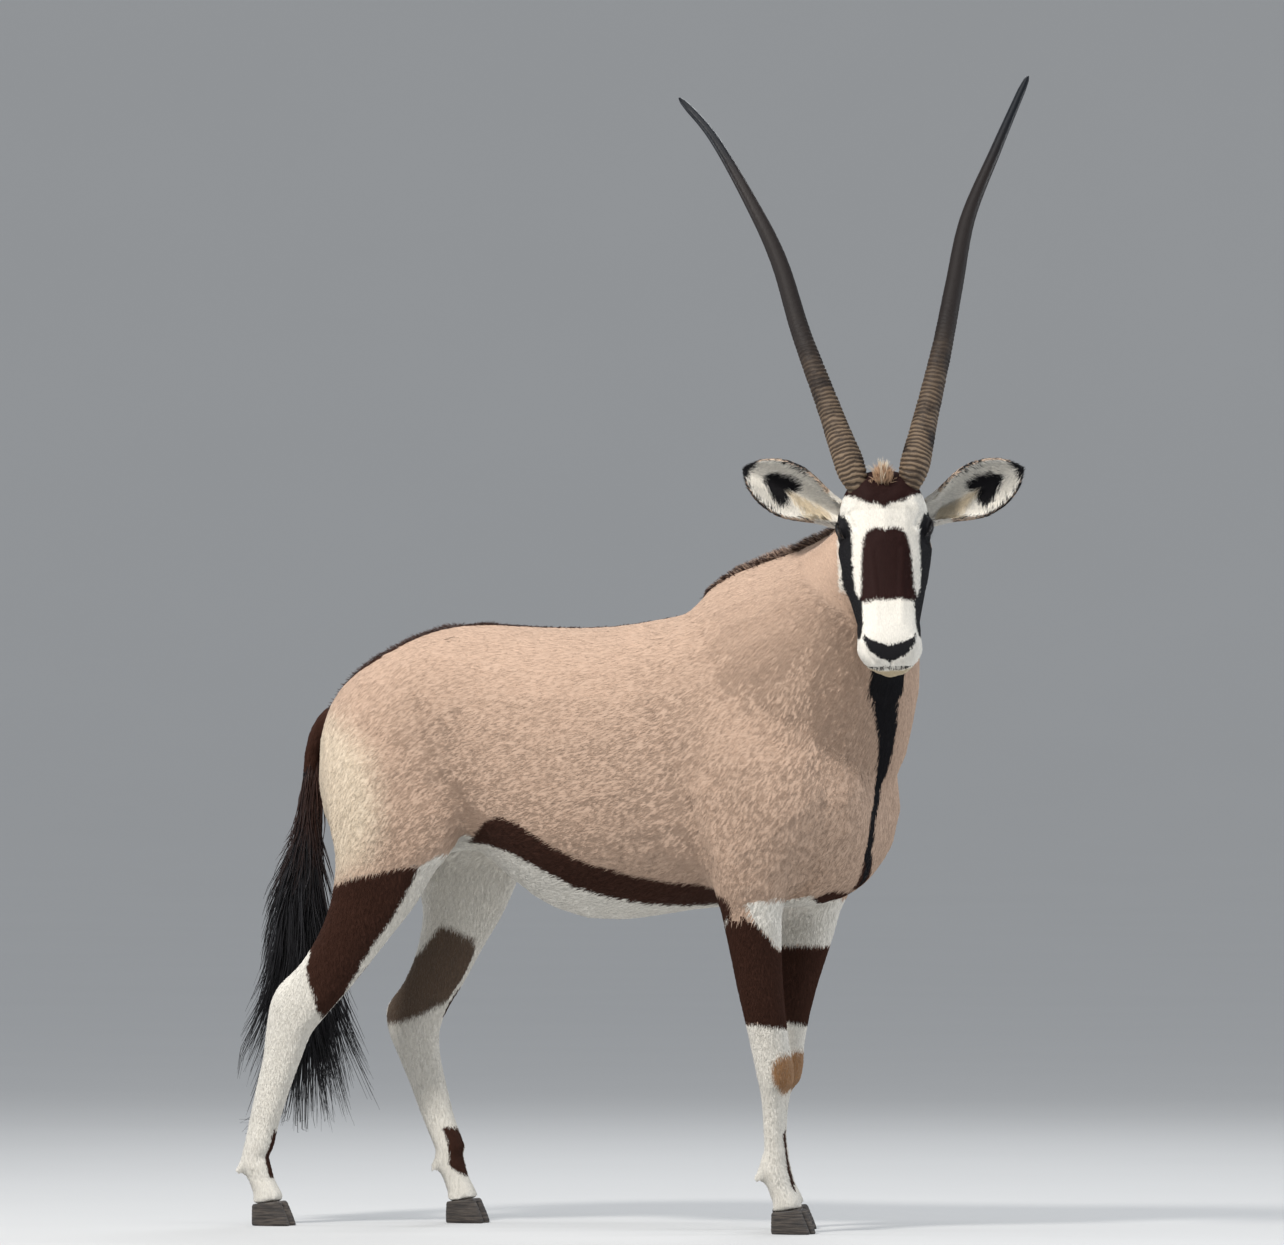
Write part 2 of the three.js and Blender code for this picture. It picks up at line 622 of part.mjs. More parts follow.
// The mane grows from the neck, and a tuft from the poll
const mane = joined(maneLocks().map(solid)).intersect(neckCut.beyond).subtract(headCut.wider);
const neckPiece = largest(neckCut.piece.add(mane));
place("neck", neckPiece, TAN_COAT);

const headPiece = largest(headCut.piece.subtract(headHollows));
place("head", headPiece, WHITE_COAT);

// Ears, eyes and horns, each cut clear of the head that it grows from
const clearOfHead = grown(headPiece).add(grown(neckPiece));
[-1, 1].forEach((hand) => {
  const side = hand < 0 ? "right" : "left";
  place(`ear_${side}`, largest(solid(onAnimal(ear(hand))).subtract(clearOfHead)), TAN_COAT);
  place(`eye_${side}`, solid(onAnimal(eyeball(hand, EYE_RADIUS, 14, 9))), EYE);
  place(`horn_${side}`, largest(solid(onAnimal(horn(hand, HORNS[side]))).subtract(clearOfHead)), HORN);
});

// Tail
const tailTop = part(solid(dock()), vec(-712, 0, 800), down, [200, 200], 400);
place("tail_dock", largest(tailTop.rest.subtract(grown(torso))), DARK_COAT);
place("tail_tuft", largest(part(joined([tailTop.piece, ...tailLocks().map(solid)]), vec(-712, 0, 800), down, [300, 300], 900).piece), BLACK_HAIR);

// The origin lies on the ground under the middle of the whole animal
const box = new THREE.Box3().setFromObject(group);
const centre = box.getCenter(vec(0, 0, 0));
group.position.set(-centre.x, -centre.y, -box.min.z);

export default group;
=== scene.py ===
import math

import bmesh
import bpy
import numpy as np
from mathutils import Matrix, Vector
from mathutils.bvhtree import BVHTree


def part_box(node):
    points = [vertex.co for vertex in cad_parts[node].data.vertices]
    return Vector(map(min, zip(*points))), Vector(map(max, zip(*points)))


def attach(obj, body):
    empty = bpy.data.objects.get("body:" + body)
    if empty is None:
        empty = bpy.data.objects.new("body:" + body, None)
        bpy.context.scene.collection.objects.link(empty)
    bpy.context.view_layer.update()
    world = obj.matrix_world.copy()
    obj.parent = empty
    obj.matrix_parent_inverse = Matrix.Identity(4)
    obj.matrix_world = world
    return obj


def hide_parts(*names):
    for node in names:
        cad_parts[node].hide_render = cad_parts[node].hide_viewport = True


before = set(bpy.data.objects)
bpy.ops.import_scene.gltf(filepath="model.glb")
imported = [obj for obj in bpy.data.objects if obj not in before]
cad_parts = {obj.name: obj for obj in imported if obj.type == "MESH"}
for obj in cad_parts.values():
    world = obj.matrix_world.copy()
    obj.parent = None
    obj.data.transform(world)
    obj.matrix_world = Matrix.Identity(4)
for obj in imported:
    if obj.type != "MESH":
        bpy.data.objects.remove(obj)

bl_info = {
    "name": "Gemsbok",
    "version": (1, 0, 0),
    "blender": (4, 5, 0),
    "location": "View3D > Sidebar > Gemsbok",
    "description": "A life-size gemsbok with its coat, built over its packed solids",
    "category": "Add Mesh",
}

# Places, in metres

# The layout used here has its origin on the ground under the animal: +X towards the chest, +Y to its left.
HEAD_TURN, HEAD_DROOP, HEAD_ROLL = 68.0, 60.0, 2.0
FACE_AT = Vector((0.580, -0.183, 1.357))
EYE_IN_HEAD = Vector((-0.013, 0.072, 0.010))

TURNED = Matrix.Rotation(math.radians(-HEAD_TURN), 4, "Z")
DROOPED = Matrix.Rotation(math.radians(HEAD_DROOP), 4, "Y")
ROLLED = Matrix.Rotation(math.radians(HEAD_ROLL), 4, "Z")
HEAD_POSE = Matrix.Translation(FACE_AT) @ TURNED @ DROOPED @ ROLLED


def middle(node):
    low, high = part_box(node)
    return (low + high) / 2


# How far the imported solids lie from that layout: the eyes show it
EYES_MIDDLE = HEAD_POSE @ Vector((EYE_IN_HEAD.x, 0, EYE_IN_HEAD.z))
SHIFT = (middle("eye_left") + middle("eye_right")) / 2 - EYES_MIDDLE
SHIFT.z = 0.0
HEAD_PLACED = Matrix.Translation(SHIFT) @ HEAD_POSE
OFFSET = np.array(SHIFT)
HEAD_OUT, HEAD_IN = np.array(HEAD_PLACED), np.array(HEAD_PLACED.inverted())

LEG_NAMES = ("foreleg_right", "foreleg_left", "hindleg_right", "hindleg_left")
FLESH = ["torso", "neck", "head", "tail_dock"] + [leg + part for leg in LEG_NAMES for part in ("_upper", "_lower")]
TORSO, NECK, HEAD, TAIL, FORE_R, FORE_L, HIND_R, HIND_L, EAR_R, EAR_L = range(10)
LEGS, LEFT_LEGS = [FORE_R, FORE_L, HIND_R, HIND_L], (FORE_L, HIND_L)
# A hand is -1 on the animal's right and 1 on its left
SIDES = ((-1, "right"), (1, "left"))
EARS = ((EAR_R, -1), (EAR_L, 1))
REGION_OF = {"torso": TORSO, "neck": NECK, "head": HEAD, "tail_dock": TAIL, "eye_left": HEAD, "eye_right": HEAD,
             "ear_right": EAR_R, "ear_left": EAR_L}
for number, leg in enumerate(LEG_NAMES):
    REGION_OF[leg + "_upper"] = REGION_OF[leg + "_lower"] = FORE_R + number


def length_property(name, description, value, low, high):
    return bpy.props.FloatProperty(
        name=name, description=description, default=value, min=low, max=high, unit="LENGTH", subtype="DISTANCE")


def share_property(name, description, value):
    return bpy.props.FloatProperty(
        name=name, description=description, default=value, min=0.0, max=1.0, subtype="FACTOR")


def count_property(name, description, value):
    return bpy.props.IntProperty(name=name, description=description, default=value, min=1)


class GemsbokSizes(bpy.types.PropertyGroup):
    """Lengths, shares and numbers of hairs"""
    skin_voxel: length_property("Skin grid", "Spacing of the grid the skin is built on", 0.0066, 0.004, 0.02)
    coat_depth: length_property("Coat depth", "How far the skin lies inside the coat on the body", 0.0035, 0, 0.01)
    face_depth: length_property("Coat depth on the face", "How far the skin lies inside it there", 0.002, 0, 0.01)
    body_tufts: count_property("Tufts on each flank", "Tufts of short hair on each half of the trunk", 47000)
    neck_tufts: count_property("Tufts on the neck", "Tufts of short hair on the neck", 46500)
    head_tufts: count_property("Tufts on the head", "Tufts of short hair on the head", 48000)
    ear_tufts: count_property("Tufts on the ears", "Tufts of hair on both ears", 36500)
    leg_tufts: count_property("Tufts on two legs", "Tufts of short hair on each pair of legs", 47000)
    mane_hairs: count_property("Hairs of the mane", "Hairs along the crest of the neck", 4200)
    back_hairs: count_property("Hairs along the back", "Raised dark hairs from the rump to the withers", 3000)
    tail_locks: count_property("Locks of the tail", "Locks of long hair on the tail, of 13 hairs each", 260)
    hair_grey: share_property("Grey hairs", "Share of grey hairs among the pale ones", 0.12)
    eye_radius: length_property("Eye", "Radius of the eyeball", 0.020, 0.01, 0.03)
    horn_rings: count_property("Rings on a horn", "Rings on the ringed part of each horn", 52)
    ringed_share: share_property("Ringed part", "Share of the horn's length that carries rings", 0.47)


def colour_property(name, description, value):
    return bpy.props.FloatVectorProperty(
        name=name, description=description, default=value, size=3, subtype="COLOR", min=0, max=1)


class GemsbokColours(bpy.types.PropertyGroup):
    """Colours of the hair, horn and hooves"""
    tan: colour_property("Body", "Short hair of the trunk and neck", (0.53, 0.378, 0.285))
    grey: colour_property("Grey hairs", "Darker hairs among those of the body", (0.41, 0.295, 0.225))
    cream: colour_property("Buttocks", "Pale hair of the buttocks, and on the backs of the ears", (0.70, 0.585, 0.45))
    white: colour_property("White", "White of the face, belly and legs", (0.78, 0.745, 0.675))
    # Straw is the real colour of the hair in the ear cups; on the chin under the mouth line it is painted shade
    straw_and_chin_shade: colour_property("Straw", "Yellowish hair in the cup of the ear and on the chin", (0.56, 0.455, 0.30))
    dark: colour_property("Dark brown", "Stripes of the trunk and bands of the legs", (0.044, 0.018, 0.0115))
    face: colour_property("Dark face", "Forehead and the stripe down the face", (0.022, 0.0075, 0.0062))
    black: colour_property("Black", "Eye stripes, nose, throat and tail", (0.010, 0.0095, 0.011))
    rust: colour_property("Knee patch", "Patch on the front of the knee", (0.30, 0.15, 0.06))
    umber: colour_property("Inner gaskin", "Band on the inner side of the hind legs", (0.105, 0.070, 0.048))
    poll: colour_property("Poll", "Tuft between the horns", (0.52, 0.34, 0.215))
    horn_base: colour_property("Foot of the horn", "Grooves between the rings", (0.060, 0.041, 0.028))
    horn_ridge: colour_property("Rings of the horn", "Worn ridges at the foot of the horn", (0.21, 0.150, 0.098))
    horn_shaft: colour_property("Shaft of the horn", "Middle of the horn", (0.0125, 0.0090, 0.0080))
    horn_tip: colour_property("Tip of the horn", "Smooth upper end of the horn", (0.0055, 0.0068, 0.0095))
    hoof: colour_property("Hoof", "Horn of the hooves", (0.022, 0.018, 0.016))


def sizes():
    return bpy.context.scene.gemsbok_sizes


def colours():
    return bpy.context.scene.gemsbok_colours


def unit(v):
    return v / np.maximum(np.linalg.norm(v, axis=-1, keepdims=True), 1e-12)


def smoothstep(low, high, value):
    t = np.clip((value - low) / (high - low), 0, 1)
    return t * t * (3 - 2 * t)


def to_head(points):
    """Placed points in the head's own axes: along the nose, to its left, and out of its face."""
    return points @ HEAD_IN[:3, :3].T + HEAD_IN[:3, 3]


def from_head(points):
    return points @ HEAD_OUT[:3, :3].T + HEAD_OUT[:3, 3]


def way_to_head(ways):
    return ways @ HEAD_OUT[:3, :3]


def way_from_head(ways):
    return ways @ HEAD_OUT[:3, :3].T


def folded(points):
    """Points in the head's axes, with its right side laid over its left."""
    return np.stack([points[:, 0], np.abs(points[:, 1]), points[:, 2]], axis=1)


def arrays_of(mesh):
    mesh.calc_loop_triangles()
    verts = np.empty(len(mesh.vertices) * 3)
    mesh.vertices.foreach_get("co", verts)
    tris = np.empty(len(mesh.loop_triangles) * 3, np.int64)
    mesh.loop_triangles.foreach_get("vertices", tris)
    return verts.reshape(-1, 3), tris.reshape(-1, 3)


def new_mesh(name, verts, faces):
    """A mesh from an array of points and an array of faces that all have the same number of corners."""
    mesh = bpy.data.meshes.new(name)
    corners = faces.shape[1]
    mesh.vertices.add(len(verts))
    mesh.vertices.foreach_set("co", np.ascontiguousarray(verts, dtype=np.float32).ravel())
    mesh.loops.add(faces.size)
    mesh.loops.foreach_set("vertex_index", np.ascontiguousarray(faces, dtype=np.int32).ravel())
    mesh.polygons.add(len(faces))
    mesh.polygons.foreach_set("loop_start", np.arange(0, faces.size, corners, dtype=np.int32))
    mesh.update(calc_edges=True)
    mesh.validate()
    return mesh


def carrier(name, data):
    """An object in the scene that holds this mesh, lamp or camera."""
    thing = bpy.data.objects.new(name, data)
    bpy.context.scene.collection.objects.link(thing)
    return thing


def worked(thing, *helpers):
    """The mesh that an object's modifiers make, once it and its helpers are gone."""
    mesh = bpy.data.meshes.new_from_object(thing.evaluated_get(bpy.context.evaluated_depsgraph_get()))
    for done in (thing, *helpers):
        bpy.data.objects.remove(done)
    return mesh


def remeshed(name, mesh, voxel):
    """The mesh built anew on an even grid."""
    holder = carrier(name, mesh)
    grid = holder.modifiers.new("grid", "REMESH")
    grid.mode, grid.voxel_size = "VOXEL", voxel
    return worked(holder)


def put(name, mesh, material, replaced=(), smooth=True):
    """The mesh as a finished piece that rides on the part's only body."""
    mesh.materials.clear()
    mesh.materials.append(material)
    if smooth:
        mesh.shade_smooth()
    piece = carrier(name, mesh)
    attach(piece, "root")
    if replaced:
        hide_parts(*replaced)


def attribute(mesh, name, values):
    mesh.attributes.new(name, "FLOAT", "POINT").data.foreach_set("value", values.astype(np.float32).ravel())


def colour_attribute(mesh, values):
    layer = mesh.attributes.new("tint", "FLOAT_COLOR", "POINT")
    rgba = np.concatenate([values, np.ones((len(values), 1))], axis=1)
    layer.data.foreach_set("color", rgba.astype(np.float32).ravel())


def edges_of(tris):
    pairs = np.concatenate([tris[:, [0, 1]], tris[:, [1, 2]], tris[:, [2, 0]]])
    pairs.sort(axis=1)
    return np.unique(pairs, axis=0)


def mesh_edges(mesh):
    edges = np.empty(len(mesh.edges) * 2, np.int64)
    mesh.edges.foreach_get("vertices", edges)
    return edges.reshape(-1, 2)


def move_points(mesh, points):
    mesh.vertices.foreach_set("co", points.astype(np.float32).ravel())
    mesh.update()


def wall_tris(index):
    """Triangles between the rows of an array of point numbers, each row closed into a ring."""
    after = np.roll(index, -1, axis=1)
    return [np.stack([index[:-1], after[:-1], after[1:]], axis=-1).reshape(-1, 3),
            np.stack([index[:-1], after[1:], index[1:]], axis=-1).reshape(-1, 3)]


def fronts_out(points, tris):
    """The triangles of a closed surface, turned to face outward."""
    a, b, c = (points[tris[:, k]] for k in range(3))
    return tris[:, ::-1] if np.einsum("ij,ij->i", np.cross(a, b), c).sum() < 0 else tris


def vertex_normals(verts, tris):
    a, b, c = verts[tris[:, 0]], verts[tris[:, 1]], verts[tris[:, 2]]
    faces = np.cross(b - a, c - a)
    total = np.zeros_like(verts)
    for corner in range(3):
        for axis in range(3):
            total[:, axis] += np.bincount(tris[:, corner], faces[:, axis], len(verts))
    return unit(total)


class Smoother:
    """Averages values over the neighbours in a mesh."""

    def __init__(self, edges, count):
        self.start = np.concatenate([edges[:, 0], edges[:, 1]])
        self.end = np.concatenate([edges[:, 1], edges[:, 0]])
        self.count = count
        self.degree = np.maximum(np.bincount(self.start, minlength=count), 1)

    def mean(self, values):
        flat = values.reshape(self.count, -1)
        sums = [np.bincount(self.start, flat[self.end, k], self.count) for k in range(flat.shape[1])]
        return (np.stack(sums, axis=1) / self.degree[:, None]).reshape(values.shape)

    def run(self, values, times, share=0.5):
        share = share if np.isscalar(share) else share.reshape((-1,) + (1,) * (values.ndim - 1))
        for _ in range(times):
            values = values + share * (self.mean(values) - values)
        return values


def polygon_field(u, v, points):
    """Signed distance to the outline of a polygon, above zero inside it."""
    p = np.stack([u, v], axis=1)
    nearest = np.full(len(u), 1e9)
    inside = np.zeros(len(u), bool)
    for a, b in zip(points, points[1:] + points[:1]):
        a, b = np.array(a, float), np.array(b, float)
        along = b - a
        t = np.clip((p - a) @ along / (along @ along), 0, 1)
        nearest = np.minimum(nearest, np.linalg.norm(p - a - t[:, None] * along, axis=1))
        crosses = (a[1] > p[:, 1]) != (b[1] > p[:, 1])
        if along[1] != 0:
            inside ^= crosses & (p[:, 0] < along[0] * (p[:, 1] - a[1]) / along[1] + a[0])
    return np.where(inside, nearest, -nearest)


def path_distance(points, path):
    """Distance to a path of straight runs, and how far along it the nearest place lies (0 to 1)."""
    path = np.array(path, float)
    lengths = np.linalg.norm(np.diff(path, axis=0), axis=1)
    begun = np.concatenate([[0], np.cumsum(lengths)])
    nearest, share = np.full(len(points), 1e9), np.zeros(len(points))
    for k, length in enumerate(lengths):
        along = (path[k + 1] - path[k]) / length
        t = np.clip((points - path[k]) @ along, 0, length)
        away = np.linalg.norm(points - path[k] - t[:, None] * along, axis=1)
        closer = away < nearest
        nearest[closer] = away[closer]
        share[closer] = (begun[k] + t[closer]) / begun[-1]
    return nearest, share


# Shaders


class Value:
    """A socket that takes part in sums, so that a node tree reads as arithmetic."""

    def __init__(self, graph, socket):
        self.graph, self.socket = graph, socket

    def _sum(self, operation, first, second=None):
        node = self.graph.tree.nodes.new("ShaderNodeMath")
        node.operation = operation
        for place, value in enumerate((first, second)):
            if value is not None:
                self.graph.feed(node.inputs[place], value)
        return Value(self.graph, node.outputs[0])

    def __add__(self, other):
        return self._sum("ADD", self, other)

    def __radd__(self, other):
        return self._sum("ADD", other, self)

    def __sub__(self, other):
        return self._sum("SUBTRACT", self, other)

    def __rsub__(self, other):
        return self._sum("SUBTRACT", other, self)

    def __mul__(self, other):
        return self._sum("MULTIPLY", self, other)

    def __truediv__(self, other):
        return self._sum("DIVIDE", self, other)

    def power(self, other):
        return self._sum("POWER", self, other)

    def greatest(self, other):
        return self._sum("MAXIMUM", self, other)

    def least(self, other):
        return self._sum("MINIMUM", self, other)

    def wave(self):
        return self._sum("SINE", self)

    def fraction(self):
        return self._sum("FRACT", self)

    def step(self, low, high):
        """0 below low and 1 above high, smooth between them."""
        return Value(self.graph, self.graph.node(
            "ShaderNodeMapRange", interpolation_type="SMOOTHSTEP",
            Value=self, **{"From Min": low, "From Max": high},
        ).outputs["Result"])


class Graph:
    """One material's nodes."""

    def __init__(self, name):
        self.material = bpy.data.materials.new(name + "_look")
        self.material.use_nodes = True
        self.tree = self.material.node_tree
        self.shader = self.tree.nodes["Principled BSDF"]
        self.points = Value(self, self.node("ShaderNodeTexCoord").outputs["Object"])

    def feed(self, socket, value):
        if isinstance(value, Value):
            self.tree.links.new(value.socket, socket)
        elif socket.type == "RGBA":
            socket.default_value = (*value, 1.0)
        else:
            socket.default_value = value

    def node(self, kind, **values):
        node = self.tree.nodes.new(kind)
        for name, value in values.items():
            if name not in node.inputs:
                setattr(node, name, value)
        for name, value in values.items():
            if name in node.inputs:
                self.feed(node.inputs[name], value)
        return node

    def read(self, name, output="Fac"):
        return Value(self, self.node("ShaderNodeAttribute", attribute_name=name).outputs[output])

    def stretched(self, factors):
        node = self.node("ShaderNodeVectorMath", operation="MULTIPLY")
        self.feed(node.inputs[0], self.points)
        node.inputs[1].default_value = factors
        return Value(self, node.outputs[0])

    def noise(self, scale, detail, vector=None):
        node = self.node("ShaderNodeTexNoise", Scale=scale, Detail=detail)
        self.feed(node.inputs["Vector"], vector or self.points)
        return Value(self, node.outputs["Fac"])

    def mix(self, factor, first, second, kind="MIX"):
        node = self.node("ShaderNodeMix", data_type="RGBA", blend_type=kind)
        self.feed(node.inputs[0], factor)
        self.feed(node.inputs[6], first)
        self.feed(node.inputs[7], second)
        return Value(self, node.outputs[2])

    def bump(self, height, distance, strength):
        node = self.node("ShaderNodeBump", Strength=strength, Distance=distance)
        self.feed(node.inputs["Height"], height)
        self.feed(self.shader.inputs["Normal"], Value(self, node.outputs["Normal"]))

    def set(self, **values):
        for name, value in values.items():
            self.feed(self.shader.inputs[name.replace("_", " ")], value)
        return self.material


def hair_streaks(graph):
    """Fine hair: drawn out along the trunk, down the legs and along the face."""
    along_body = graph.noise(1.0, 3.0, graph.stretched((55, 420, 330)))
    down_leg = graph.noise(1.0, 3.0, graph.stretched((420, 420, 70)))
    on_face = graph.noise(1.0, 3.0, graph.stretched((360, 360, 110)))
    legs, face = graph.read("leg_share"), graph.read("head_share")
    body = along_body * (1.0 - legs) + down_leg * legs
    return body * (1.0 - face) + on_face * face


def skin_material():
    paint = colours()
    graph = Graph("coat_skin")
    streaks = hair_streaks(graph)
    ragged = (streaks - 0.5) * 0.016 + (graph.noise(90, 3) - 0.5) * 0.012
    body = graph.mix((graph.noise(14, 4) * 0.5 + streaks * 0.5).step(0.45, 1.1), paint.tan, paint.grey)
    body = graph.mix((graph.read("cream") + ragged * 1.5).step(-0.030, 0.045), body, paint.cream)
    brown = graph.mix(graph.read("head_share").step(0.4, 0.6), paint.dark, paint.face)
    for mark, low, high, over in (
            ("white", -0.003, 0.003, paint.white), ("fan", -0.004, 0.006, paint.straw_and_chin_shade),
            ("rust", -0.006, 0.006, paint.rust), ("umber", -0.008, 0.008, paint.umber),
            ("dark", -0.003, 0.003, brown), ("black", -0.002, 0.002, paint.black)):
        body = graph.mix((graph.read(mark) + ragged).step(low, high), body, over)
    # Painted shade in the grooves of the hair streaks and painted light on their ridges: the colour follows the same
    # streaks as the bump, from 0.76 to 1.08 times
    wear_and_streak_shade = graph.mix((streaks * 0.9).step(0.2, 0.75), (0.76, 0.76, 0.76), (1.08, 1.08, 1.08))
    graph.bump(streaks * 0.7 + graph.noise(700, 2) * 0.3, 0.0012, 0.7)
    return graph.set(
        Base_Color=graph.mix(0.55, body, wear_and_streak_shade, "MULTIPLY"),
        Roughness=0.82 - graph.read("black").step(-0.002, 0.004) * 0.25,
        Specular_IOR_Level=0.12,
    )


def coat_material(name="coat_hair", roughness=0.62, shine=0.10):
    graph = Graph(name)
    tint = graph.read("tint", "Color")
    fleck = graph.mix(graph.noise(260, 2).step(0.25, 0.75), (0.90, 0.90, 0.90), (1.06, 1.06, 1.06))
    return graph.set(Base_Color=graph.mix(1.0, tint, fleck, "MULTIPLY"), Roughness=roughness, Specular_IOR_Level=shine)


def horn_material():
    paint = colours()
    graph = Graph("horn")
    along, ridge = graph.read("along"), graph.read("ridge")
    grain = graph.noise(1.0, 4, graph.stretched((900, 900, 40)))
    patches = graph.noise(22, 4)
    shaft = graph.mix((along + (patches - 0.5) * 0.10).step(0.74, 0.90), paint.horn_shaft, paint.horn_tip)
    wear_and_streak_shade = (ridge.step(0.35, 0.95) * (1.15 - along * 2.2).greatest(0.0)).least(1.0)
    base = graph.mix(wear_and_streak_shade * (0.45 + grain * 0.9).least(1.0), paint.horn_base, paint.horn_ridge)
    base = graph.mix((patches + grain * 0.4).step(0.62, 0.95), base, paint.horn_shaft)
    colour = graph.mix((along + (patches - 0.5) * 0.2).step(0.12, 0.44), base, shaft)
    graph.bump(grain * 0.6 + graph.noise(300, 3) * 0.4, 0.0007, 0.7)
    return graph.set(Base_Color=colour, Roughness=0.60 - along.step(0.55, 0.85) * 0.24, Specular_IOR_Level=0.22)


def hoof_material():
    graph = Graph("hoof")
    bands = graph.noise(1.0, 3, graph.stretched((30, 30, 420)))
    colour = graph.mix(bands.step(0.35, 0.7), colours().hoof, (0.085, 0.068, 0.055))
    graph.bump(bands * 0.7 + graph.noise(500, 2) * 0.3, 0.0012, 0.6)
    return graph.set(Base_Color=colour, Roughness=0.48 + graph.noise(60, 3) * 0.25)


def eye_material():
    graph = Graph("eye")
    pupil, rim = graph.read("pupil"), graph.read("iris_rim")
    fibres = graph.noise(1.0, 3, graph.stretched((900, 900, 900)))
    iris = graph.mix(fibres.step(0.3, 0.8), (0.020, 0.008, 0.004), (0.070, 0.030, 0.012))
    iris = graph.mix(pupil.step(-0.0006, 0.0006), iris, (0.002, 0.002, 0.003))
    colour = graph.mix(rim.step(-0.0006, 0.0006), iris, (0.05, 0.028, 0.02))
    return graph.set(Base_Color=colour, Roughness=0.12, Coat_Weight=1.0, Coat_Roughness=0.02, Coat_IOR=1.7,
                     Specular_IOR_Level=0.6)


def lid_material():
    graph = Graph("lid")
    graph.bump(graph.noise(400, 3), 0.0006, 0.5)
    colour = graph.mix(graph.noise(200, 2), (0.008, 0.007, 0.008), (0.022, 0.018, 0.018))
    return graph.set(Base_Color=colour, Roughness=0.42)


def floor_material():
    graph = Graph("floor")
    colour = graph.mix(graph.noise(1.2, 3), (0.42, 0.42, 0.415), (0.45, 0.45, 0.445))
    return graph.set(Base_Color=colour, Roughness=0.8, Emission_Color=(0.90, 0.93, 0.96), Emission_Strength=0.16)


# Markings

# Outlines of the markings on the trunk, seen from the side: along and up
FLANK_STRIPE = [
    (-0.325, 0.755), (-0.262, 0.798), (-0.224, 0.810), (-0.181, 0.798), (-0.137, 0.770), (-0.0755, 0.735),
    (-0.014, 0.712), (0.049, 0.696), (0.110, 0.684), (0.172, 0.680), (0.248, 0.653), (0.262, 0.625),
    (0.235, 0.612), (0.200, 0.641), (0.110, 0.637), (0.049, 0.641), (-0.014, 0.653), (-0.0755, 0.6725),
    (-0.137, 0.706), (-0.213, 0.741), (-0.262, 0.753),
]
STRIPE_MIDDLE = [
    (-0.60, 0.600), (-0.389, 0.712), (-0.325, 0.755), (-0.262, 0.776), (-0.200, 0.775), (-0.137, 0.740),
    (-0.0755, 0.700), (-0.014, 0.680), (0.049, 0.668), (0.172, 0.660), (0.250, 0.645), (0.300, 0.600),
]
BUTTOCK = [
    (-0.76, 0.99), (-0.62, 1.02), (-0.562, 0.995), (-0.495, 0.94), (-0.468, 0.86), (-0.464, 0.78),
    (-0.49, 0.72), (-0.556, 0.69), (-0.76, 0.66),
]
# Half the width of the dark line along the back, from the tail forward
BACK_LINE = [
    (-0.72, 0.030), (-0.66, 0.046), (-0.60, 0.064), (-0.53, 0.078), (-0.47, 0.070), (-0.43, 0.056), (-0.40, 0.040),
    (-0.36, 0.026), (-0.33, 0.030), (-0.295, 0.020), (-0.25, 0.014), (-0.20, 0.011), (-0.10, 0.009), (0.12, 0.008),
]
# The dark band of a hind leg on its outer and inner side, and the white on a foreleg's outer side:
# across the leg from its back edge (0) to its front edge (1), and up
HIND_OUTER = [
    (-0.3, 0.668), (0.02, 0.676), (0.26, 0.689), (0.54, 0.700), (0.705, 0.708), (0.89, 0.712), (0.87, 0.635),
    (0.868, 0.576), (0.876, 0.546), (0.935, 0.476), (1.0, 0.440), (1.3, 0.410), (1.0, 0.408), (0.80, 0.427),
    (0.56, 0.466), (0.204, 0.515), (0.0, 0.560), (-0.3, 0.570),
]
HIND_INNER = [
    (0.85, 0.565), (0.345, 0.592), (0.148, 0.540), (-0.3, 0.520), (-0.3, 0.392), (0.33, 0.397), (0.65, 0.411),
    (0.85, 0.431), (1.3, 0.470), (1.3, 0.540), (0.92, 0.550),
]
FORE_WHITE = [
    (0.55, 0.645), (0.62, 0.618), (0.86, 0.583), (1.0, 0.556), (1.4, 0.545), (1.4, 0.66),
]
# The throat's stripe, down its middle, with half its width at each point
THROAT = [
    (0.538, -0.079, 1.290), (0.556, -0.110, 1.190), (0.562, -0.114, 1.059), (0.560, -0.109, 1.039),
    (0.546, -0.071, 0.954), (0.529, -0.048, 0.903), (0.513, -0.045, 0.854), (0.511, -0.060, 0.806),
    (0.495, -0.042, 0.743), (0.463, 0.020, 0.687),
]
THROAT_HALF = [0.030, 0.038, 0.041, 0.030, 0.020, 0.016, 0.013, 0.011, 0.012, 0.024]
BRISKET = [
    (0.300, -0.030), (0.340, -0.056), (0.386, -0.060), (0.430, -0.055), (0.475, -0.030), (0.500, 0.03),
    (0.46, 0.10), (0.36, 0.115), (0.30, 0.09),
]
# The face, on its left half: along the nose and across
HEART = [(-0.16, -0.01), (-0.16, 0.05), (-0.118, 0.082), (-0.090, 0.076), (-0.068, 0.062), (-0.052, 0.048),
         (-0.043, 0.034), (-0.040, 0.018), (-0.034, 0.007), (-0.024, 0.0), (-0.028, -0.01)]
BLAZE = [(0.019, -0.01), (0.019, 0.0), (0.015, 0.010), (0.014, 0.022), (0.019, 0.033), (0.034, 0.042),
         (0.055, 0.046), (0.075, 0.048), (0.125, 0.050), (0.146, 0.053), (0.154, 0.062),
         (0.160, 0.054), (0.163, 0.040), (0.161, 0.02), (0.163, -0.01)]
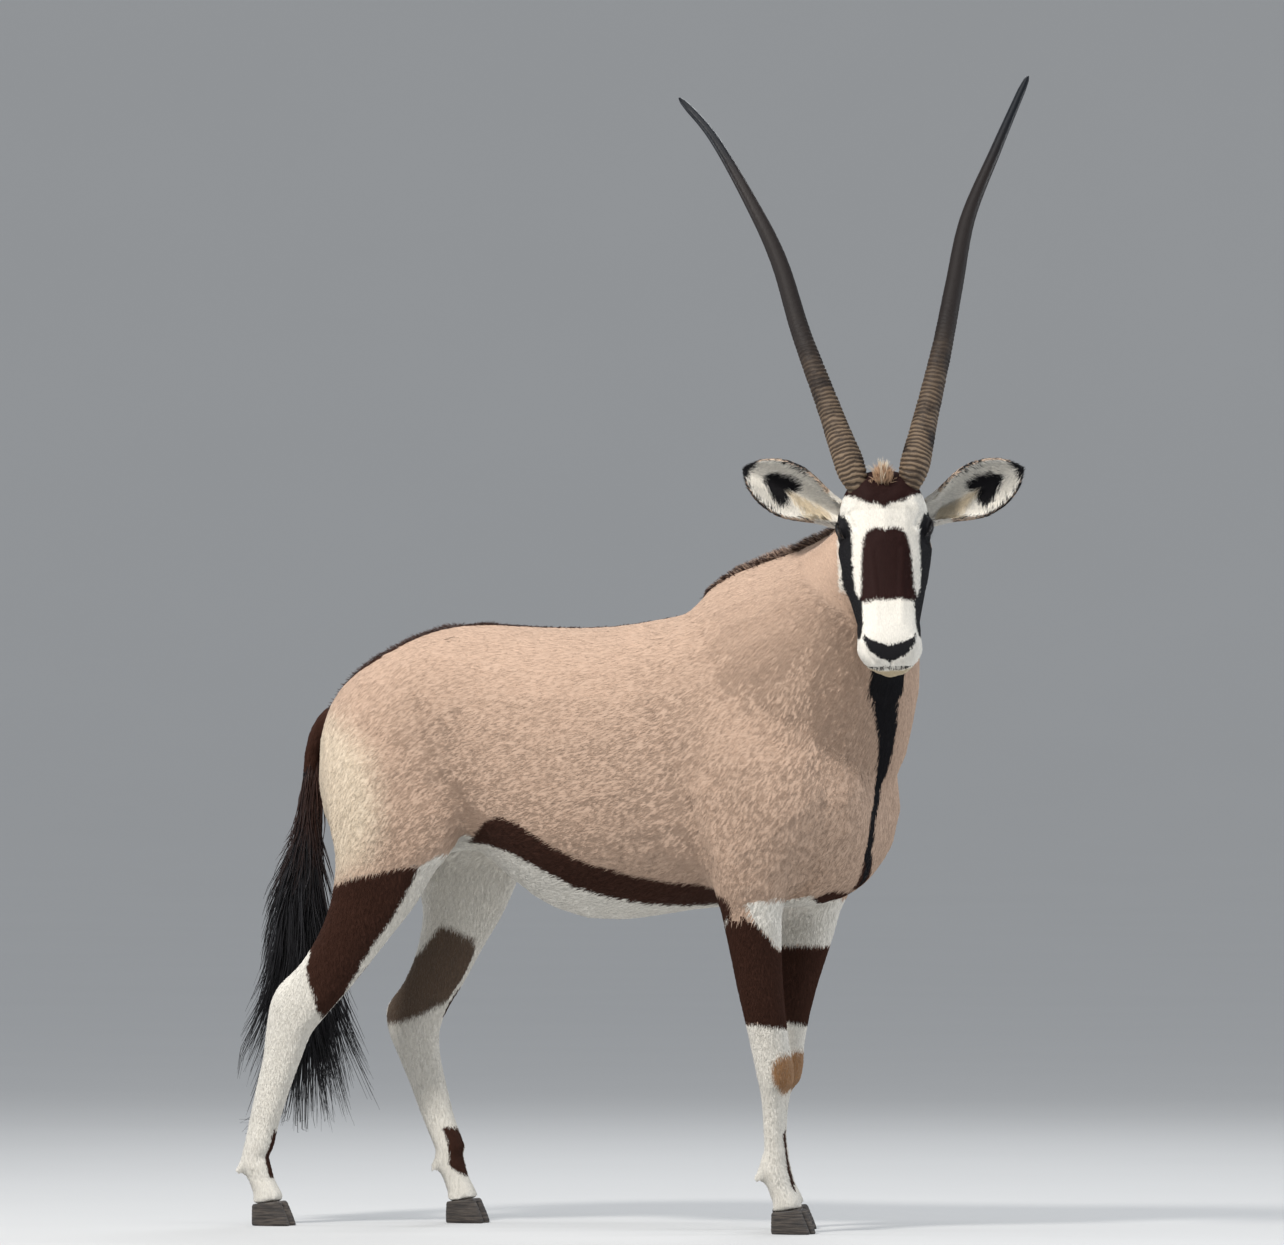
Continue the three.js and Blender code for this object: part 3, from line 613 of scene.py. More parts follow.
# The stripe through the eye, on the left: along the nose, and degrees round the head from its face
EYE_STRIPE = [
    (-0.070, 79), (-0.050, 66), (-0.026, 51), (-0.001, 44), (0.030, 45), (0.046, 46.5), (0.094, 54), (0.132, 56),
    (0.148, 51), (0.156, 45), (0.163, 44.6), (0.178, 47), (0.204, 51.7), (0.221, 56), (0.229, 62), (0.222, 75),
    (0.205, 95), (0.175, 112), (0.147, 122), (0.119, 118), (0.089, 110), (0.056, 99), (0.020, 80), (-0.020, 84),
    (-0.050, 86),
]
NOSE_PAD = [
    (0.2135, 0.0495), (0.2200, 0.039), (0.2270, 0.028), (0.2300, 0.020), (0.2360, 0.006), (0.2365, 0.0),
    (0.2365, -0.01), (0.288, -0.01), (0.289, 0.0), (0.2805, 0.004), (0.2760, 0.014), (0.2690, 0.026),
    (0.2540, 0.038), (0.2400, 0.0455), (0.2250, 0.0505),
]


# Depths of a hind leg and a foreleg over which their outlines are drawn, and a degree round the head, in metres
HIND_DEPTH, FORE_DEPTH, DEGREE = 0.18, 0.12, 0.00122
# Where a field is nowhere near its colour
FAR_OUT = -0.05


class LegTable:
    """Each leg's back and front edge and the middle of its width, by height."""

    HEIGHTS = np.arange(0.04, 0.78, 0.02)

    def __init__(self, points, region):
        self.edges = {}
        for leg in LEGS:
            mine = points[region == leg]
            rows = []
            for height in self.HEIGHTS:
                near = mine[np.abs(mine[:, 2] - height) < 0.012]
                if len(near) > 8:
                    middle = (near[:, 1].min() + near[:, 1].max()) / 2
                    rows.append((height, near[:, 0].min(), near[:, 0].max(), middle, np.ptp(near[:, 1]) / 2))
            rows = np.array(rows)
            top = rows[-1].copy()
            slope = (rows[-1] - rows[-3]) / (rows[-1][0] - rows[-3][0])
            rows = np.vstack([rows, top + slope * 0.12])
            self.edges[leg] = rows

    def place(self, leg, points):
        """How far across the leg each point lies, how far towards the outside, and the leg's width there."""
        rows = self.edges[leg]
        back, front, middle, half = (np.interp(points[:, 2], rows[:, 0], rows[:, k]) for k in (1, 2, 3, 4))
        hand = 1 if leg in LEFT_LEGS else -1
        return (points[:, 0] - back) / (front - back), hand * (points[:, 1] - middle) / half, front - back


def line_at(rows, x, column=1):
    rows = np.array(rows)
    return np.interp(x, rows[:, 0], rows[:, column])


def ear_place(points, hand):
    """For points in the head's axes: share of the ear's length, metres towards its crown edge, and depth."""
    root, along, wide, open_way = ear_axes(hand)
    offset = points - root
    return offset @ along / EAR_LENGTH, -hand * (offset @ wide), offset @ open_way


def ear_marks(points, normals, hand):
    """Inside of the ear (above zero), its dark blot, its dark rim and the yellow hair of its cup."""
    root, along, _, open_way = ear_axes(hand)
    share, up, _ = ear_place(points, hand)
    half = EAR_HALF_WIDTH * np.interp(share, *np.array(EAR).T[:2])
    middle = root + along * (share * EAR_LENGTH)[:, None] + open_way * 0.012
    inside = np.einsum("ij,ij->i", unit(normals), unit(middle - points))
    blot = polygon_field(share * EAR_LENGTH, up, [(a * EAR_LENGTH, b * EAR_HALF_WIDTH) for a, b in EAR_BLOT])
    to_edge = half - np.abs(up)
    crown = smoothstep(0.53, 0.57, share) - smoothstep(0.76, 0.82, share)
    outer = np.where(up < 0, smoothstep(0.55, 0.62, share), crown)
    rim = 0.0045 * outer - to_edge
    tip = np.minimum((share - 0.985) * EAR_LENGTH, (up + 0.020) * 0.8)
    rim = np.maximum(np.maximum(rim, tip), np.where(share > 1.03, 0.01, FAR_OUT))
    fan = polygon_field(share * EAR_LENGTH, up, [(0.02, -0.034), (0.09, -0.036), (0.142, -0.010), (0.136, 0.002),
                                                 (0.10, -0.004), (0.05, -0.006)])
    return inside, blot, np.where(share > 0.3, rim, FAR_OUT), fan, share


def markings(p, region, legs, normals):
    """How deep each point of the layout lies inside each colour, in metres, below zero outside it."""
    x, y, z = p.T
    marks = {name: np.full(len(p), FAR_OUT) for name in ("white", "dark", "black", "rust", "cream", "umber", "fan")}

    def add(name, where, field):
        marks[name][where] = np.maximum(marks[name][where], field)

    trunk = (region == TORSO) | (region == NECK)
    add("dark", trunk, polygon_field(x[trunk], z[trunk], FLANK_STRIPE) - 0.04 * (np.abs(y[trunk]) < 0.03))
    add("white", trunk, np.minimum(line_at(STRIPE_MIDDLE, x[trunk]) - z[trunk], 0.25 - x[trunk]))
    between = np.minimum(np.minimum(0.125 - np.abs(y), 0.775 - z), -0.30 - x)
    add("white", trunk, between[trunk])
    breast = polygon_field(x, y, BRISKET)
    add("dark", trunk, np.minimum(breast, (0.668 - z) * 0.8)[trunk])
    add("cream", trunk | (region >= HIND_R), polygon_field(x, z, BUTTOCK)[trunk | (region >= HIND_R)] * 0.9)
    back = line_at(BACK_LINE, x) - np.abs(y)
    add("dark", region == TORSO, np.minimum(np.minimum(back, (z - 0.93) * 2), 0.16 - x)[region == TORSO])
    add("dark", region == TAIL, 0.02)
    add("black", region == TAIL, (0.90 - z)[region == TAIL] * 0.5)

    throat, share = path_distance(p, THROAT)
    path = np.array(THROAT)
    gone = np.concatenate([[0], np.cumsum(np.linalg.norm(np.diff(path, axis=0), axis=1))])
    stripe = np.interp(share, gone / gone[-1], THROAT_HALF) - throat
    on_throat = trunk | (region == HEAD)
    add("black", on_throat, np.where(z < 0.74, stripe - (0.74 - z) * 0.3, stripe)[on_throat])
    add("dark", on_throat, stripe[on_throat])

    for leg in LEGS:
        mine = (region == leg) | (trunk & (z < 0.775) & ((x < -0.34) if leg >= HIND_R else (x > 0.20)))
        mine &= (y > 0) == (leg in LEFT_LEGS)
        t, out, width = legs.place(leg, p[mine])
        high, own = z[mine], region[mine] == leg
        side = smoothstep(-0.45, -0.05, out)
        if leg >= HIND_R:
            outer = polygon_field(t * HIND_DEPTH, high, [(a * HIND_DEPTH, b) for a, b in HIND_OUTER])
            inner = polygon_field(t * HIND_DEPTH, high, [(a * HIND_DEPTH, b) for a, b in HIND_INNER])
            add("dark", mine, np.where(own | (out > -0.3), outer - (1 - side) * 0.2, FAR_OUT))
            add("umber", mine, np.where(own, inner - side * 0.1, FAR_OUT))
            top = np.interp(t, [0, 0.26, 0.54, 0.705, 0.89, 1.0], [0.672, 0.689, 0.700, 0.708, 0.712, 0.735])
            pale = top + (1 - side) * 0.07 - high
            add("white", mine, np.where(own, pale, np.where((t > 0.80) & (out > -0.2), pale, FAR_OUT)))
            lower = np.minimum(0.190 - high, (t - 0.66) * width) - np.maximum(0.115 - high, 0)
            lower = np.minimum(lower, (0.35 - out) * 0.03)
            add("dark", mine, np.where(own, lower, FAR_OUT))
        else:
            white = polygon_field(t * FORE_DEPTH, high, [(a * FORE_DEPTH, b) for a, b in FORE_WHITE])
            band = np.minimum(high - 0.557, 0.640 - high)
            white = np.maximum(white, band - smoothstep(-0.3, 0.1, out) * 0.08)
            reach = own | ((white > 0) & (high < 0.66))
            dark = np.minimum(high - (0.413 - 0.010 * t), np.where(own, 0.66, 0.622) - high)
            add("dark", mine, np.where(reach, np.minimum(dark, -white), FAR_OUT))
            marks["dark"][mine] = np.where(reach & (white > -0.02), np.minimum(marks["dark"][mine], -white),
                                           marks["dark"][mine])
            add("white", mine, np.where(reach, np.maximum(white, 0.413 - high), FAR_OUT))
            knee = np.hypot((1.05 - t) * 0.075, (high - 0.312) * 0.85)
            add("rust", mine, np.where(own, 0.034 - knee, FAR_OUT))
            cannon = np.minimum(np.minimum(0.20 - high, (t - 0.78) * width), (0.1 - out) * 0.02)
            cannon -= np.maximum(0.09 - high, 0)
            add("dark", mine, np.where(own, cannon, FAR_OUT))

    head = region == HEAD
    h = to_head(p[head] + OFFSET)
    across = np.abs(h[:, 1])
    round_head = np.degrees(np.arctan2(across, h[:, 2] + 0.030))
    face = np.minimum(polygon_field(h[:, 0], across, HEART), h[:, 2])
    blaze = np.minimum(polygon_field(h[:, 0], across, BLAZE), h[:, 2] + 0.01)
    turned = round_head * DEGREE
    stripe = polygon_field(h[:, 0], turned, [(a, b * DEGREE) for a, b in EYE_STRIPE])
    over_nose = h[:, 0] - h[:, 2]
    pad = np.where(h[:, 0] > 0.2, polygon_field(over_nose, across, NOSE_PAD), FAR_OUT)
    add("dark", head, np.maximum(np.maximum(face, blaze), np.maximum(stripe, FAR_OUT)))
    add("black", head, np.maximum(pad, stripe))
    lips = path_distance(folded(h), MOUTH)[0]
    add("black", head, 0.0054 - lips - np.maximum(across - 0.028, 0) * 0.2)
    cheek = np.minimum(np.minimum(0.136 - turned, h[:, 0] + 0.012), 0.0895 - across)
    brow = np.minimum(h[:, 0] + 0.100, 0.096 - turned)
    chin = np.minimum(h[:, 0] - 0.150, 0.05)
    add("white", head, np.minimum(np.maximum(np.maximum(cheek, brow), chin), h[:, 2] + 0.135))
    # Painted shade on the chin: below the mouth line the white gives way to the darker straw colour
    line = line_at([(0.20, -0.056), (0.24, -0.046), (0.265, -0.033), (0.280, -0.022), (0.29, -0.020)], h[:, 0])
    add("fan", head, np.minimum(np.minimum(h[:, 0] - 0.225, line - 0.006 - h[:, 2]), 0.052 - across))

    for number, hand in EARS:
        ear = region == number
        inside, blot, rim, fan, share = ear_marks(to_head(p[ear] + OFFSET), way_to_head(normals[ear]), hand)
        within = inside > 0.1
        add("white", ear, np.where(within, 0.02, np.minimum(0.30 - share, 0.02)))
        add("cream", ear, np.where(within, fan * 3, 0.006))
        add("fan", ear, np.where(within, fan, FAR_OUT))
        add("black", ear, np.where(within, np.maximum(blot + 0.002, rim), rim))
    return marks


# Skin


def swollen(name, by=0.0006):
    """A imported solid's points and triangles, with its seams joined and its surface moved out a little."""
    points, tris = arrays_of(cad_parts[name].data)
    _, first, inverse = np.unique(np.round(points, 6), axis=0, return_index=True, return_inverse=True)
    points, tris = points[first], inverse.reshape(-1)[tris]
    return points + vertex_normals(points, tris) * by, tris


def largest_island(points, quads):
    """The same mesh without its smaller loose pieces."""
    label = np.arange(len(points))
    pairs = np.concatenate([quads[:, [0, 1]], quads[:, [1, 2]], quads[:, [2, 3]]])
    while True:
        least = np.minimum(label[pairs[:, 0]], label[pairs[:, 1]])
        fresh = label.copy()
        np.minimum.at(fresh, pairs[:, 0], least)
        np.minimum.at(fresh, pairs[:, 1], least)
        fresh = fresh[fresh]
        if (fresh == label).all():
            break
        label = fresh
    kept = label == np.bincount(label).argmax()
    order = np.cumsum(kept) - 1
    return points[kept], order[quads[kept[quads[:, 0]]]]


class Surface:
    """A mesh held as arrays, with each point's part of the body."""

    def __init__(self, mesh, finder):
        self.mesh, self.finder = mesh, finder
        self.read()

    def read(self):
        self.points, self.tris = arrays_of(self.mesh)
        self.smoother = Smoother(mesh_edges(self.mesh), len(self.points))
        tree, regions = self.finder
        self.region = np.array([regions[tree.find_nearest(Vector(p))[2]] for p in self.points])
        self.shares = {}

    def share(self, regions, times=12):
        """1 inside these parts and 0 outside them, with a soft border."""
        key = (tuple(regions), times)
        if key not in self.shares:
            self.shares[key] = self.smoother.run(np.isin(self.region, regions).astype(float), times)
        return self.shares[key]

    def normals(self):
        return vertex_normals(self.points, self.tris)

    def soften(self, share, times, kept=0.9):
        """Smooths the surface, then gives back the broad form that the smoothing took."""
        before = self.points
        after = self.smoother.run(before, times, share * 0.5)
        lost = self.smoother.run(before - after, times)
        self.points = after + lost * (share * kept)[:, None]

    def push(self, amount):
        self.points = self.points + self.normals() * amount[:, None]

    def stroke(self, path, radius, height, where=None, softness=2):
        """A ridge or groove along a path: radius and height may change along it."""
        away, along = path_distance(self.points, path)
        wide, tall = (np.interp(along, np.linspace(0, 1, np.size(value)), np.atleast_1d(value))
                      for value in (radius, height))
        amount = tall * np.clip(1 - (away / wide) ** 2, 0, 1) ** softness
        self.push(amount if where is None else amount * where)

    def write(self):
        move_points(self.mesh, self.points)

    def refine(self, wanted):
        """Splits the faces among the wanted points."""
        self.write()
        bm = bmesh.new()
        bm.from_mesh(self.mesh)
        bm.verts.ensure_lookup_table()
        edges = [edge for edge in bm.edges if wanted[edge.verts[0].index] and wanted[edge.verts[1].index]]
        bmesh.ops.subdivide_edges(bm, edges=edges, cuts=1, use_grid_fill=True)
        bm.to_mesh(self.mesh)
        bm.free()
        self.read()


def mirrored(path):
    return [[(a, hand * b, c) for a, b, c in path] for hand in (-1, 1)]


# Ridges and grooves of the head: path in its own axes on the left side, radius, height
HEAD_FORMS = [
    ([(-0.055, 0.058, 0.054), (-0.020, 0.074, 0.046), (0.014, 0.066, 0.043)], 0.017, 0.0035),
    ([(-0.055, 0.088, -0.018), (0.000, 0.092, -0.020), (0.045, 0.084, -0.014), (0.095, 0.068, -0.018)], 0.018, 0.003),
    ([(0.026, 0.070, 0.024), (0.060, 0.064, 0.014), (0.085, 0.058, 0.006)], 0.013, -0.0025),
    ([(-0.060, 0.076, -0.075), (-0.010, 0.080, -0.092), (0.020, 0.074, -0.100)], 0.040, 0.004),
    ([(0.045, 0.078, -0.050), (0.050, 0.074, -0.085)], 0.020, -0.003),
    ([(0.060, 0.032, 0.044), (0.140, 0.027, 0.036), (0.205, 0.024, 0.028)], 0.012, 0.0018),
    ([(0.085, 0.055, 0.018), (0.140, 0.050, 0.008), (0.185, 0.048, 0.000)], 0.017, -0.0025),
    ([(0.236, 0.048, -0.006), (0.256, 0.046, -0.012), (0.272, 0.034, -0.018)], 0.016, 0.0035),
    ([(0.200, 0.058, -0.028), (0.240, 0.060, -0.030)], 0.022, 0.004),
    ([(-0.030, 0.020, 0.066), (0.020, 0.018, 0.058)], 0.024, -0.002),
    ([(-0.090, 0.040, 0.060), (-0.060, 0.030, 0.066)], 0.022, 0.003),
]
MOUTH = [
    (0.175, 0.066, -0.056), (0.205, 0.066, -0.055), (0.240, 0.060, -0.046), (0.264, 0.049, -0.034),
    (0.278, 0.035, -0.024), (0.2845, 0.018, -0.0215), (0.2860, 0.0, -0.0210),
]
NOSTRIL = [(0.238, 0.0445, 0.010), (0.252, 0.0405, 0.002), (0.263, 0.033, -0.005), (0.271, 0.025, -0.009)]
# How far the upper and the lower lid stand from the line between the eye's corners, and half that line
LIDS, LID_HALF = (0.0096, 0.0078), 0.0176
# Distance from the eye's middle to the lids' skin and, in their opening, to the skin that is hidden by the eye
LID_SHELL, SUNK_SHELL = 0.0226, 0.0172


def eye_middle(hand):
    return np.array((EYE_IN_HEAD.x, hand * EYE_IN_HEAD.y, EYE_IN_HEAD.z))


def eye_axes(hand):
    """Where an eye looks, its line from corner to corner, and its upward way, in the head's axes."""
    look = np.array((0.36, hand * 0.90, 0.25))
    look /= np.linalg.norm(look)
    slope = math.radians(-14)
    front = np.array((math.cos(slope), 0, math.sin(slope)))
    front -= look * (front @ look)
    front /= np.linalg.norm(front)
    above = np.cross(look, front) * -hand
    return look, front, above


def eye_opening(points, hand):
    """For points in the head's axes: distance from the eye's middle, and depth inside the opening."""
    middle = eye_middle(hand)
    look, front, above = eye_axes(hand)
    offset = points - middle
    away = np.linalg.norm(offset, axis=1)
    ways = offset / away[:, None]
    scale = sizes().eye_radius
    ahead, along, up = ways @ look, ways @ front * scale, ways @ above * scale
    lid = np.where(up > 0, *LIDS) * np.clip(1 - (along / 0.0175) ** 2, -4, 1)
    inside = np.where(ahead > 0, lid - np.abs(up), FAR_OUT)
    return middle, ways, away, inside, up, ahead


def sculpt_head(skin):
    head = skin.share([HEAD], 6)
    for path, radius, height in HEAD_FORMS:
        for side in mirrored(path):
            skin.stroke(from_head(np.array(side)), radius, height, head)
    skin.stroke(from_head(np.array([(0.272, 0, -0.004), (0.284, 0, -0.014), (0.287, 0, -0.028)])), 0.006, -0.0022, head)
    for side in mirrored(MOUTH):
        skin.stroke(from_head(np.array(side)), (0.005, 0.0055, 0.006), (-0.001, -0.006, -0.0065), head, 1.5)
    below = [(0.20, 0.050, -0.066), (0.245, 0.040, -0.060), (0.268, 0.022, -0.052), (0.276, 0.0, -0.050)]
    for side in mirrored(below):
        skin.stroke(from_head(np.array(side)), 0.020, 0.0045, head)
    for side in mirrored(NOSTRIL):
        skin.stroke(from_head(np.array(side) + (0.0, 0.0, 0.006)), 0.010, 0.002, head)
        skin.stroke(from_head(np.array(side)), (0.003, 0.0045, 0.005, 0.002), (-0.002, -0.010, -0.011, -0.002), head, 1)
    for hand in (-1, 1):
        points = to_head(skin.points)
        middle, ways, away, inside, up, ahead = eye_opening(points, hand)
        near = (away < 0.045) & (ahead > 0)
        lid = LID_SHELL + 0.0012 * np.exp(-((inside + 0.0022) / 0.0016) ** 2)
        lid -= 0.0014 * np.exp(-((inside + 0.0062) / 0.0014) ** 2) * (up > 0)
        lid -= 0.0008 * np.exp(-((inside + 0.0058) / 0.0014) ** 2) * (up < 0)
        target = lid + (SUNK_SHELL - lid) * smoothstep(-0.0003, 0.0009, inside)
        pull = smoothstep(-0.0150, -0.0035, inside) * near
        reach = away + (target - away) * pull
        points = np.where(near[:, None], middle + ways * reach[:, None], points)
        skin.points = from_head(points)


# Muscles and folds of the trunk, neck and legs: path, radius, height, parts of the body
BODY_FORMS = [
    ([(0.13, -0.10, 1.16), (0.20, -0.16, 1.04), (0.29, -0.20, 0.90), (0.36, -0.19, 0.80)], 0.060, 0.007, (TORSO, NECK)),
    ([(0.06, -0.15, 1.08), (0.13, -0.19, 0.95), (0.17, -0.20, 0.80), (0.20, -0.18, 0.70)], 0.045, -0.006, (TORSO,)),
    ([(0.21, -0.20, 0.86), (0.25, -0.20, 0.76), (0.28, -0.19, 0.68)], 0.055, 0.007, (TORSO,)),
    ([(0.31, -0.20, 0.83), (0.36, -0.18, 0.76), (0.40, -0.13, 0.70)], 0.030, -0.005, (TORSO,)),
    ([(-0.30, -0.17, 0.78), (-0.36, -0.19, 0.90), (-0.40, -0.18, 1.02)], 0.050, -0.006, (TORSO,)),
    ([(-0.52, -0.19, 0.92), (-0.50, -0.20, 0.80), (-0.52, -0.18, 0.70)], 0.070, 0.006, (TORSO, HIND_R)),
    ([(-0.38, -0.13, 1.14), (-0.44, -0.15, 1.10)], 0.050, 0.006, (TORSO,)),
    ([(-0.24, -0.10, 1.16), (-0.30, -0.16, 1.06), (-0.32, -0.18, 0.95)], 0.050, -0.004, (TORSO,)),
    ([(-0.60, -0.13, 1.02), (-0.62, -0.14, 0.90), (-0.60, -0.16, 0.78)], 0.045, 0.004, (TORSO,)),
    ([(0.350, -0.076, 0.651), (0.383, -0.101, 0.673), (0.407, -0.116, 0.695), (0.42, -0.13, 0.74)],
     0.020, -0.007, (TORSO,)),
]


def body_forms():
    """Both sides of the trunk's forms."""
    for path, radius, height, parts in BODY_FORMS:
        yield path, radius, height, parts
        swapped = tuple({FORE_R: FORE_L, HIND_R: HIND_L}.get(part, part) for part in parts)
        yield [(a, -b, c) for a, b, c in path], radius, height, swapped


def decimated(mesh, keep, share):
    """The mesh in triangles, with fewer of them where keep is low."""
    holder = carrier("thinned", mesh)
    group = holder.vertex_groups.new(name="thin")
    steps = np.round(np.clip(1 - keep, 0, 1), 1)
    for level in np.unique(steps):
        if level > 0:
            group.add(np.flatnonzero(steps == level).tolist(), float(level), "REPLACE")
    modifier = holder.modifiers.new("thin", "DECIMATE")
    modifier.ratio, modifier.vertex_group, modifier.use_collapse_triangulate = share, "thin", True
    return worked(holder)


# An ear's sections, from root to tip: share of its length, width, depth of the cup, half its opening in degrees
EAR_LENGTH, EAR_HALF_WIDTH = 0.222, 0.054
EAR = [
    (0.00, 0.42, 24, 158), (0.12, 0.48, 27, 142), (0.26, 0.57, 30, 116), (0.34, 0.66, 30, 104), (0.42, 0.78, 28, 94),
    (0.50, 0.89, 26, 88), (0.60, 1.00, 23, 83), (0.72, 1.00, 19, 78), (0.80, 0.94, 15, 75), (0.88, 0.83, 12, 73),
    (0.95, 0.66, 9, 72), (1.00, 0.49, 7, 72), (1.05, 0.26, 4, 72), (1.08, 0.07, 2, 72),
]
# The dark blot inside an ear: share of its length, and share of its half width towards the crown
EAR_BLOT = [
    (0.855, 0.10), (0.845, 0.30), (0.785, 0.46), (0.68, 0.57), (0.575, 0.50), (0.545, 0.26), (0.585, 0.06),
    (0.600, -0.12), (0.600, -0.35), (0.600, -0.56), (0.642, -0.75), (0.725, -0.62), (0.80, -0.34), (0.845, -0.08),
]


def ear_axes(hand):
    """An ear's root, its line to the tip, its width and the way it opens, in the head's axes."""
    root = np.array((-0.050, hand * 0.058, -0.030))
    along = unit(np.array((-0.52 if hand < 0 else -0.42, hand * 0.86, 0.02)))
    out = unit(np.array((0.42, hand * 0.16, 0.9)))
    open_way = unit(out - along * (out @ along))
    return root, along, np.cross(along, open_way), open_way


def ear_mesh(hand):
    """A thin-walled ear with its cup, in the head's axes."""
    root, along, wide, open_way = ear_axes(hand)
    rows = np.array(EAR)
    shares = np.concatenate([np.linspace(0.02, 0.96, 58), 1.076 - 0.116 * np.linspace(0.92, 0.0, 16) ** 1.4])
    width, depth, half = (np.interp(shares, rows[:, 0], rows[:, k]) for k in (1, 2, 3))
    for values in (width, depth, half):
        for _ in range(8):
            values[1:-1] = (values[:-2] + values[1:-1] * 2 + values[2:]) / 4
    spread, depth = np.radians(half), depth / 1000
    steps = np.sin(np.linspace(-1, 1, 37) * math.pi / 2)
    rings = []
    for share, wide_share, deep, angle in zip(shares, width, depth, spread):
        walls = []
        for wall in (0.0012, 0.0042):
            turn = steps * angle
            scale = (EAR_HALF_WIDTH * wide_share - wall * 0.6) / math.sin(min(angle, math.pi / 2))
            behind = (deep - wall) * (np.cos(turn) - math.cos(angle)) / (1 - math.cos(angle))
            across, back = np.sin(turn) * scale, -behind + (0.0012 if wall > 0.002 else 0)
            walls.append(root + along * share * EAR_LENGTH + across[:, None] * wide + back[:, None] * open_way)
        rings.append(np.concatenate([walls[0], walls[1][::-1]]))
    points = np.concatenate(rings)
    index = np.arange(len(points)).reshape(len(rings), -1)
    tris, half_way = wall_tris(index), index.shape[1] // 2
    for row, flip in ((index[0], -1), (index[-1], 1)):
        a, b, c, d = row[:half_way - 1], row[1:half_way], row[::-1][:half_way - 1], row[::-1][1:half_way]
        tris.append(np.concatenate([np.stack([a, b, d], axis=1), np.stack([a, d, c], axis=1)])[:, ::flip])
    return points, fronts_out(points, np.concatenate(tris))


def with_ears(mesh):
    """The skin's mesh with both ears joined into it."""
    bm = bmesh.new()
    bm.from_mesh(mesh)
    bmesh.ops.triangulate(bm, faces=bm.faces)
    bm.to_mesh(mesh)
    bm.free()
    body, ears = carrier("body", mesh), []
    for hand, _ in SIDES:
        points, tris = ear_mesh(hand)
        ears.append(carrier("ear", new_mesh("ear", from_head(points), tris)))
        union = body.modifiers.new("ear", "BOOLEAN")
        union.operation, union.solver, union.object = "UNION", "MANIFOLD", ears[-1]
    return worked(body, *ears)


def layout_marks(skin):
    """The markings of every point of a surface."""
    points = skin.points - OFFSET
    return markings(points, skin.region, LegTable(points, skin.region), skin.normals())


def make_skin():
    """The flesh solids as one smooth skin, with the head and the body's forms worked into it."""
    names = FLESH + ["eye_left", "eye_right", "ear_left", "ear_right"]
    parts = [swollen(name) for name in names]
    starts = np.cumsum([0] + [len(points) for points, _ in parts])
    points = np.concatenate([points for points, _ in parts])
    tris = np.concatenate([tris + start for (_, tris), start in zip(parts, starts)])
    regions = np.concatenate([np.full(len(tris), REGION_OF[name]) for (_, tris), name in zip(parts, names)])
    finder = BVHTree.FromPolygons(points.tolist(), tris.tolist()), regions

    flesh = tris[regions < EAR_R]
    mesh = remeshed("grid", new_mesh("grid", points[:flesh.max() + 1], flesh), sizes().skin_voxel)
    points = np.empty(len(mesh.vertices) * 3)
    mesh.vertices.foreach_get("co", points)
    quads = np.empty(len(mesh.loops), np.int32)
    mesh.loops.foreach_get("vertex_index", quads)
    points, quads = largest_island(points.reshape(-1, 3), quads.reshape(-1, 4))
    skin = Surface(new_mesh("skin", points, quads), finder)

    trunk = skin.share([TORSO, NECK], 14)
    legs = skin.share(LEGS, 4)
    high = smoothstep(0.30, 0.66, skin.points[:, 2])
    skin.soften(np.clip(trunk + legs * high * 0.8, 0, 1), 60)
    skin.soften(legs * (1 - high * 0.5) + skin.share([TAIL], 4), 8)
    seams = np.abs(skin.share([TORSO], 3) - 0.5) < 0.45
    skin.soften(skin.smoother.run(seams.astype(float), 8), 24, 0.6)

    for path, radius, height, parts in body_forms():
        skin.stroke(np.array(path) + OFFSET, radius, height, skin.share(parts, 10))

    skin.refine(skin.region == HEAD)
    head = skin.share([HEAD], 8)
    skin.soften(head, 26)
    depth = sizes().coat_depth * (1 - head) + sizes().face_depth * head
    depth *= 1 - 0.55 * smoothstep(0.45, 0.20, skin.points[:, 2])
    skin.push(-depth)
    skin.write()
    skin = Surface(with_ears(skin.mesh), finder)
    rims = skin.share([EAR_R, EAR_L], 5)
    skin.soften(4 * rims * (1 - rims), 6)
    sides = folded(to_head(skin.points))
    eyes = np.linalg.norm(sides - eye_middle(1), axis=1) < 0.036
    mouth = (path_distance(sides, MOUTH)[0] < 0.010) | (path_distance(sides, NOSTRIL)[0] < 0.014)
    skin.refine((eyes | mouth) & (skin.region == HEAD))
    skin.soften(skin.share([HEAD], 4), 4)
    sculpt_head(skin)
    skin.write()
    marks = layout_marks(skin)
    edge = np.min([np.abs(marks[name]) for name in ("dark", "white", "black")], axis=0)
    fine = 1 - smoothstep(0.012, 0.030, edge)
    fine = np.maximum(fine, skin.share([HEAD, EAR_R, EAR_L] + LEGS, 8))
    mesh = decimated(skin.mesh, fine, 0.62)
    skin = Surface(mesh, finder)
    for name, values in layout_marks(skin).items():
        attribute(mesh, name, values)
    attribute(mesh, "head_share", skin.share([HEAD, EAR_R, EAR_L], 6))
    attribute(mesh, "leg_share", skin.share(LEGS, 6))
    attribute(mesh, "region", skin.region.astype(float))
    return mesh


# Pieces

# Where each piece's random draws start
TAIL_SEED, MANE_SEED, LASH_SEED, COAT_SEED, PATCH_SEED = 41, 77, 5, 100, 3


def material_of(name):
    return bpy.data.materials[name + "_look"]


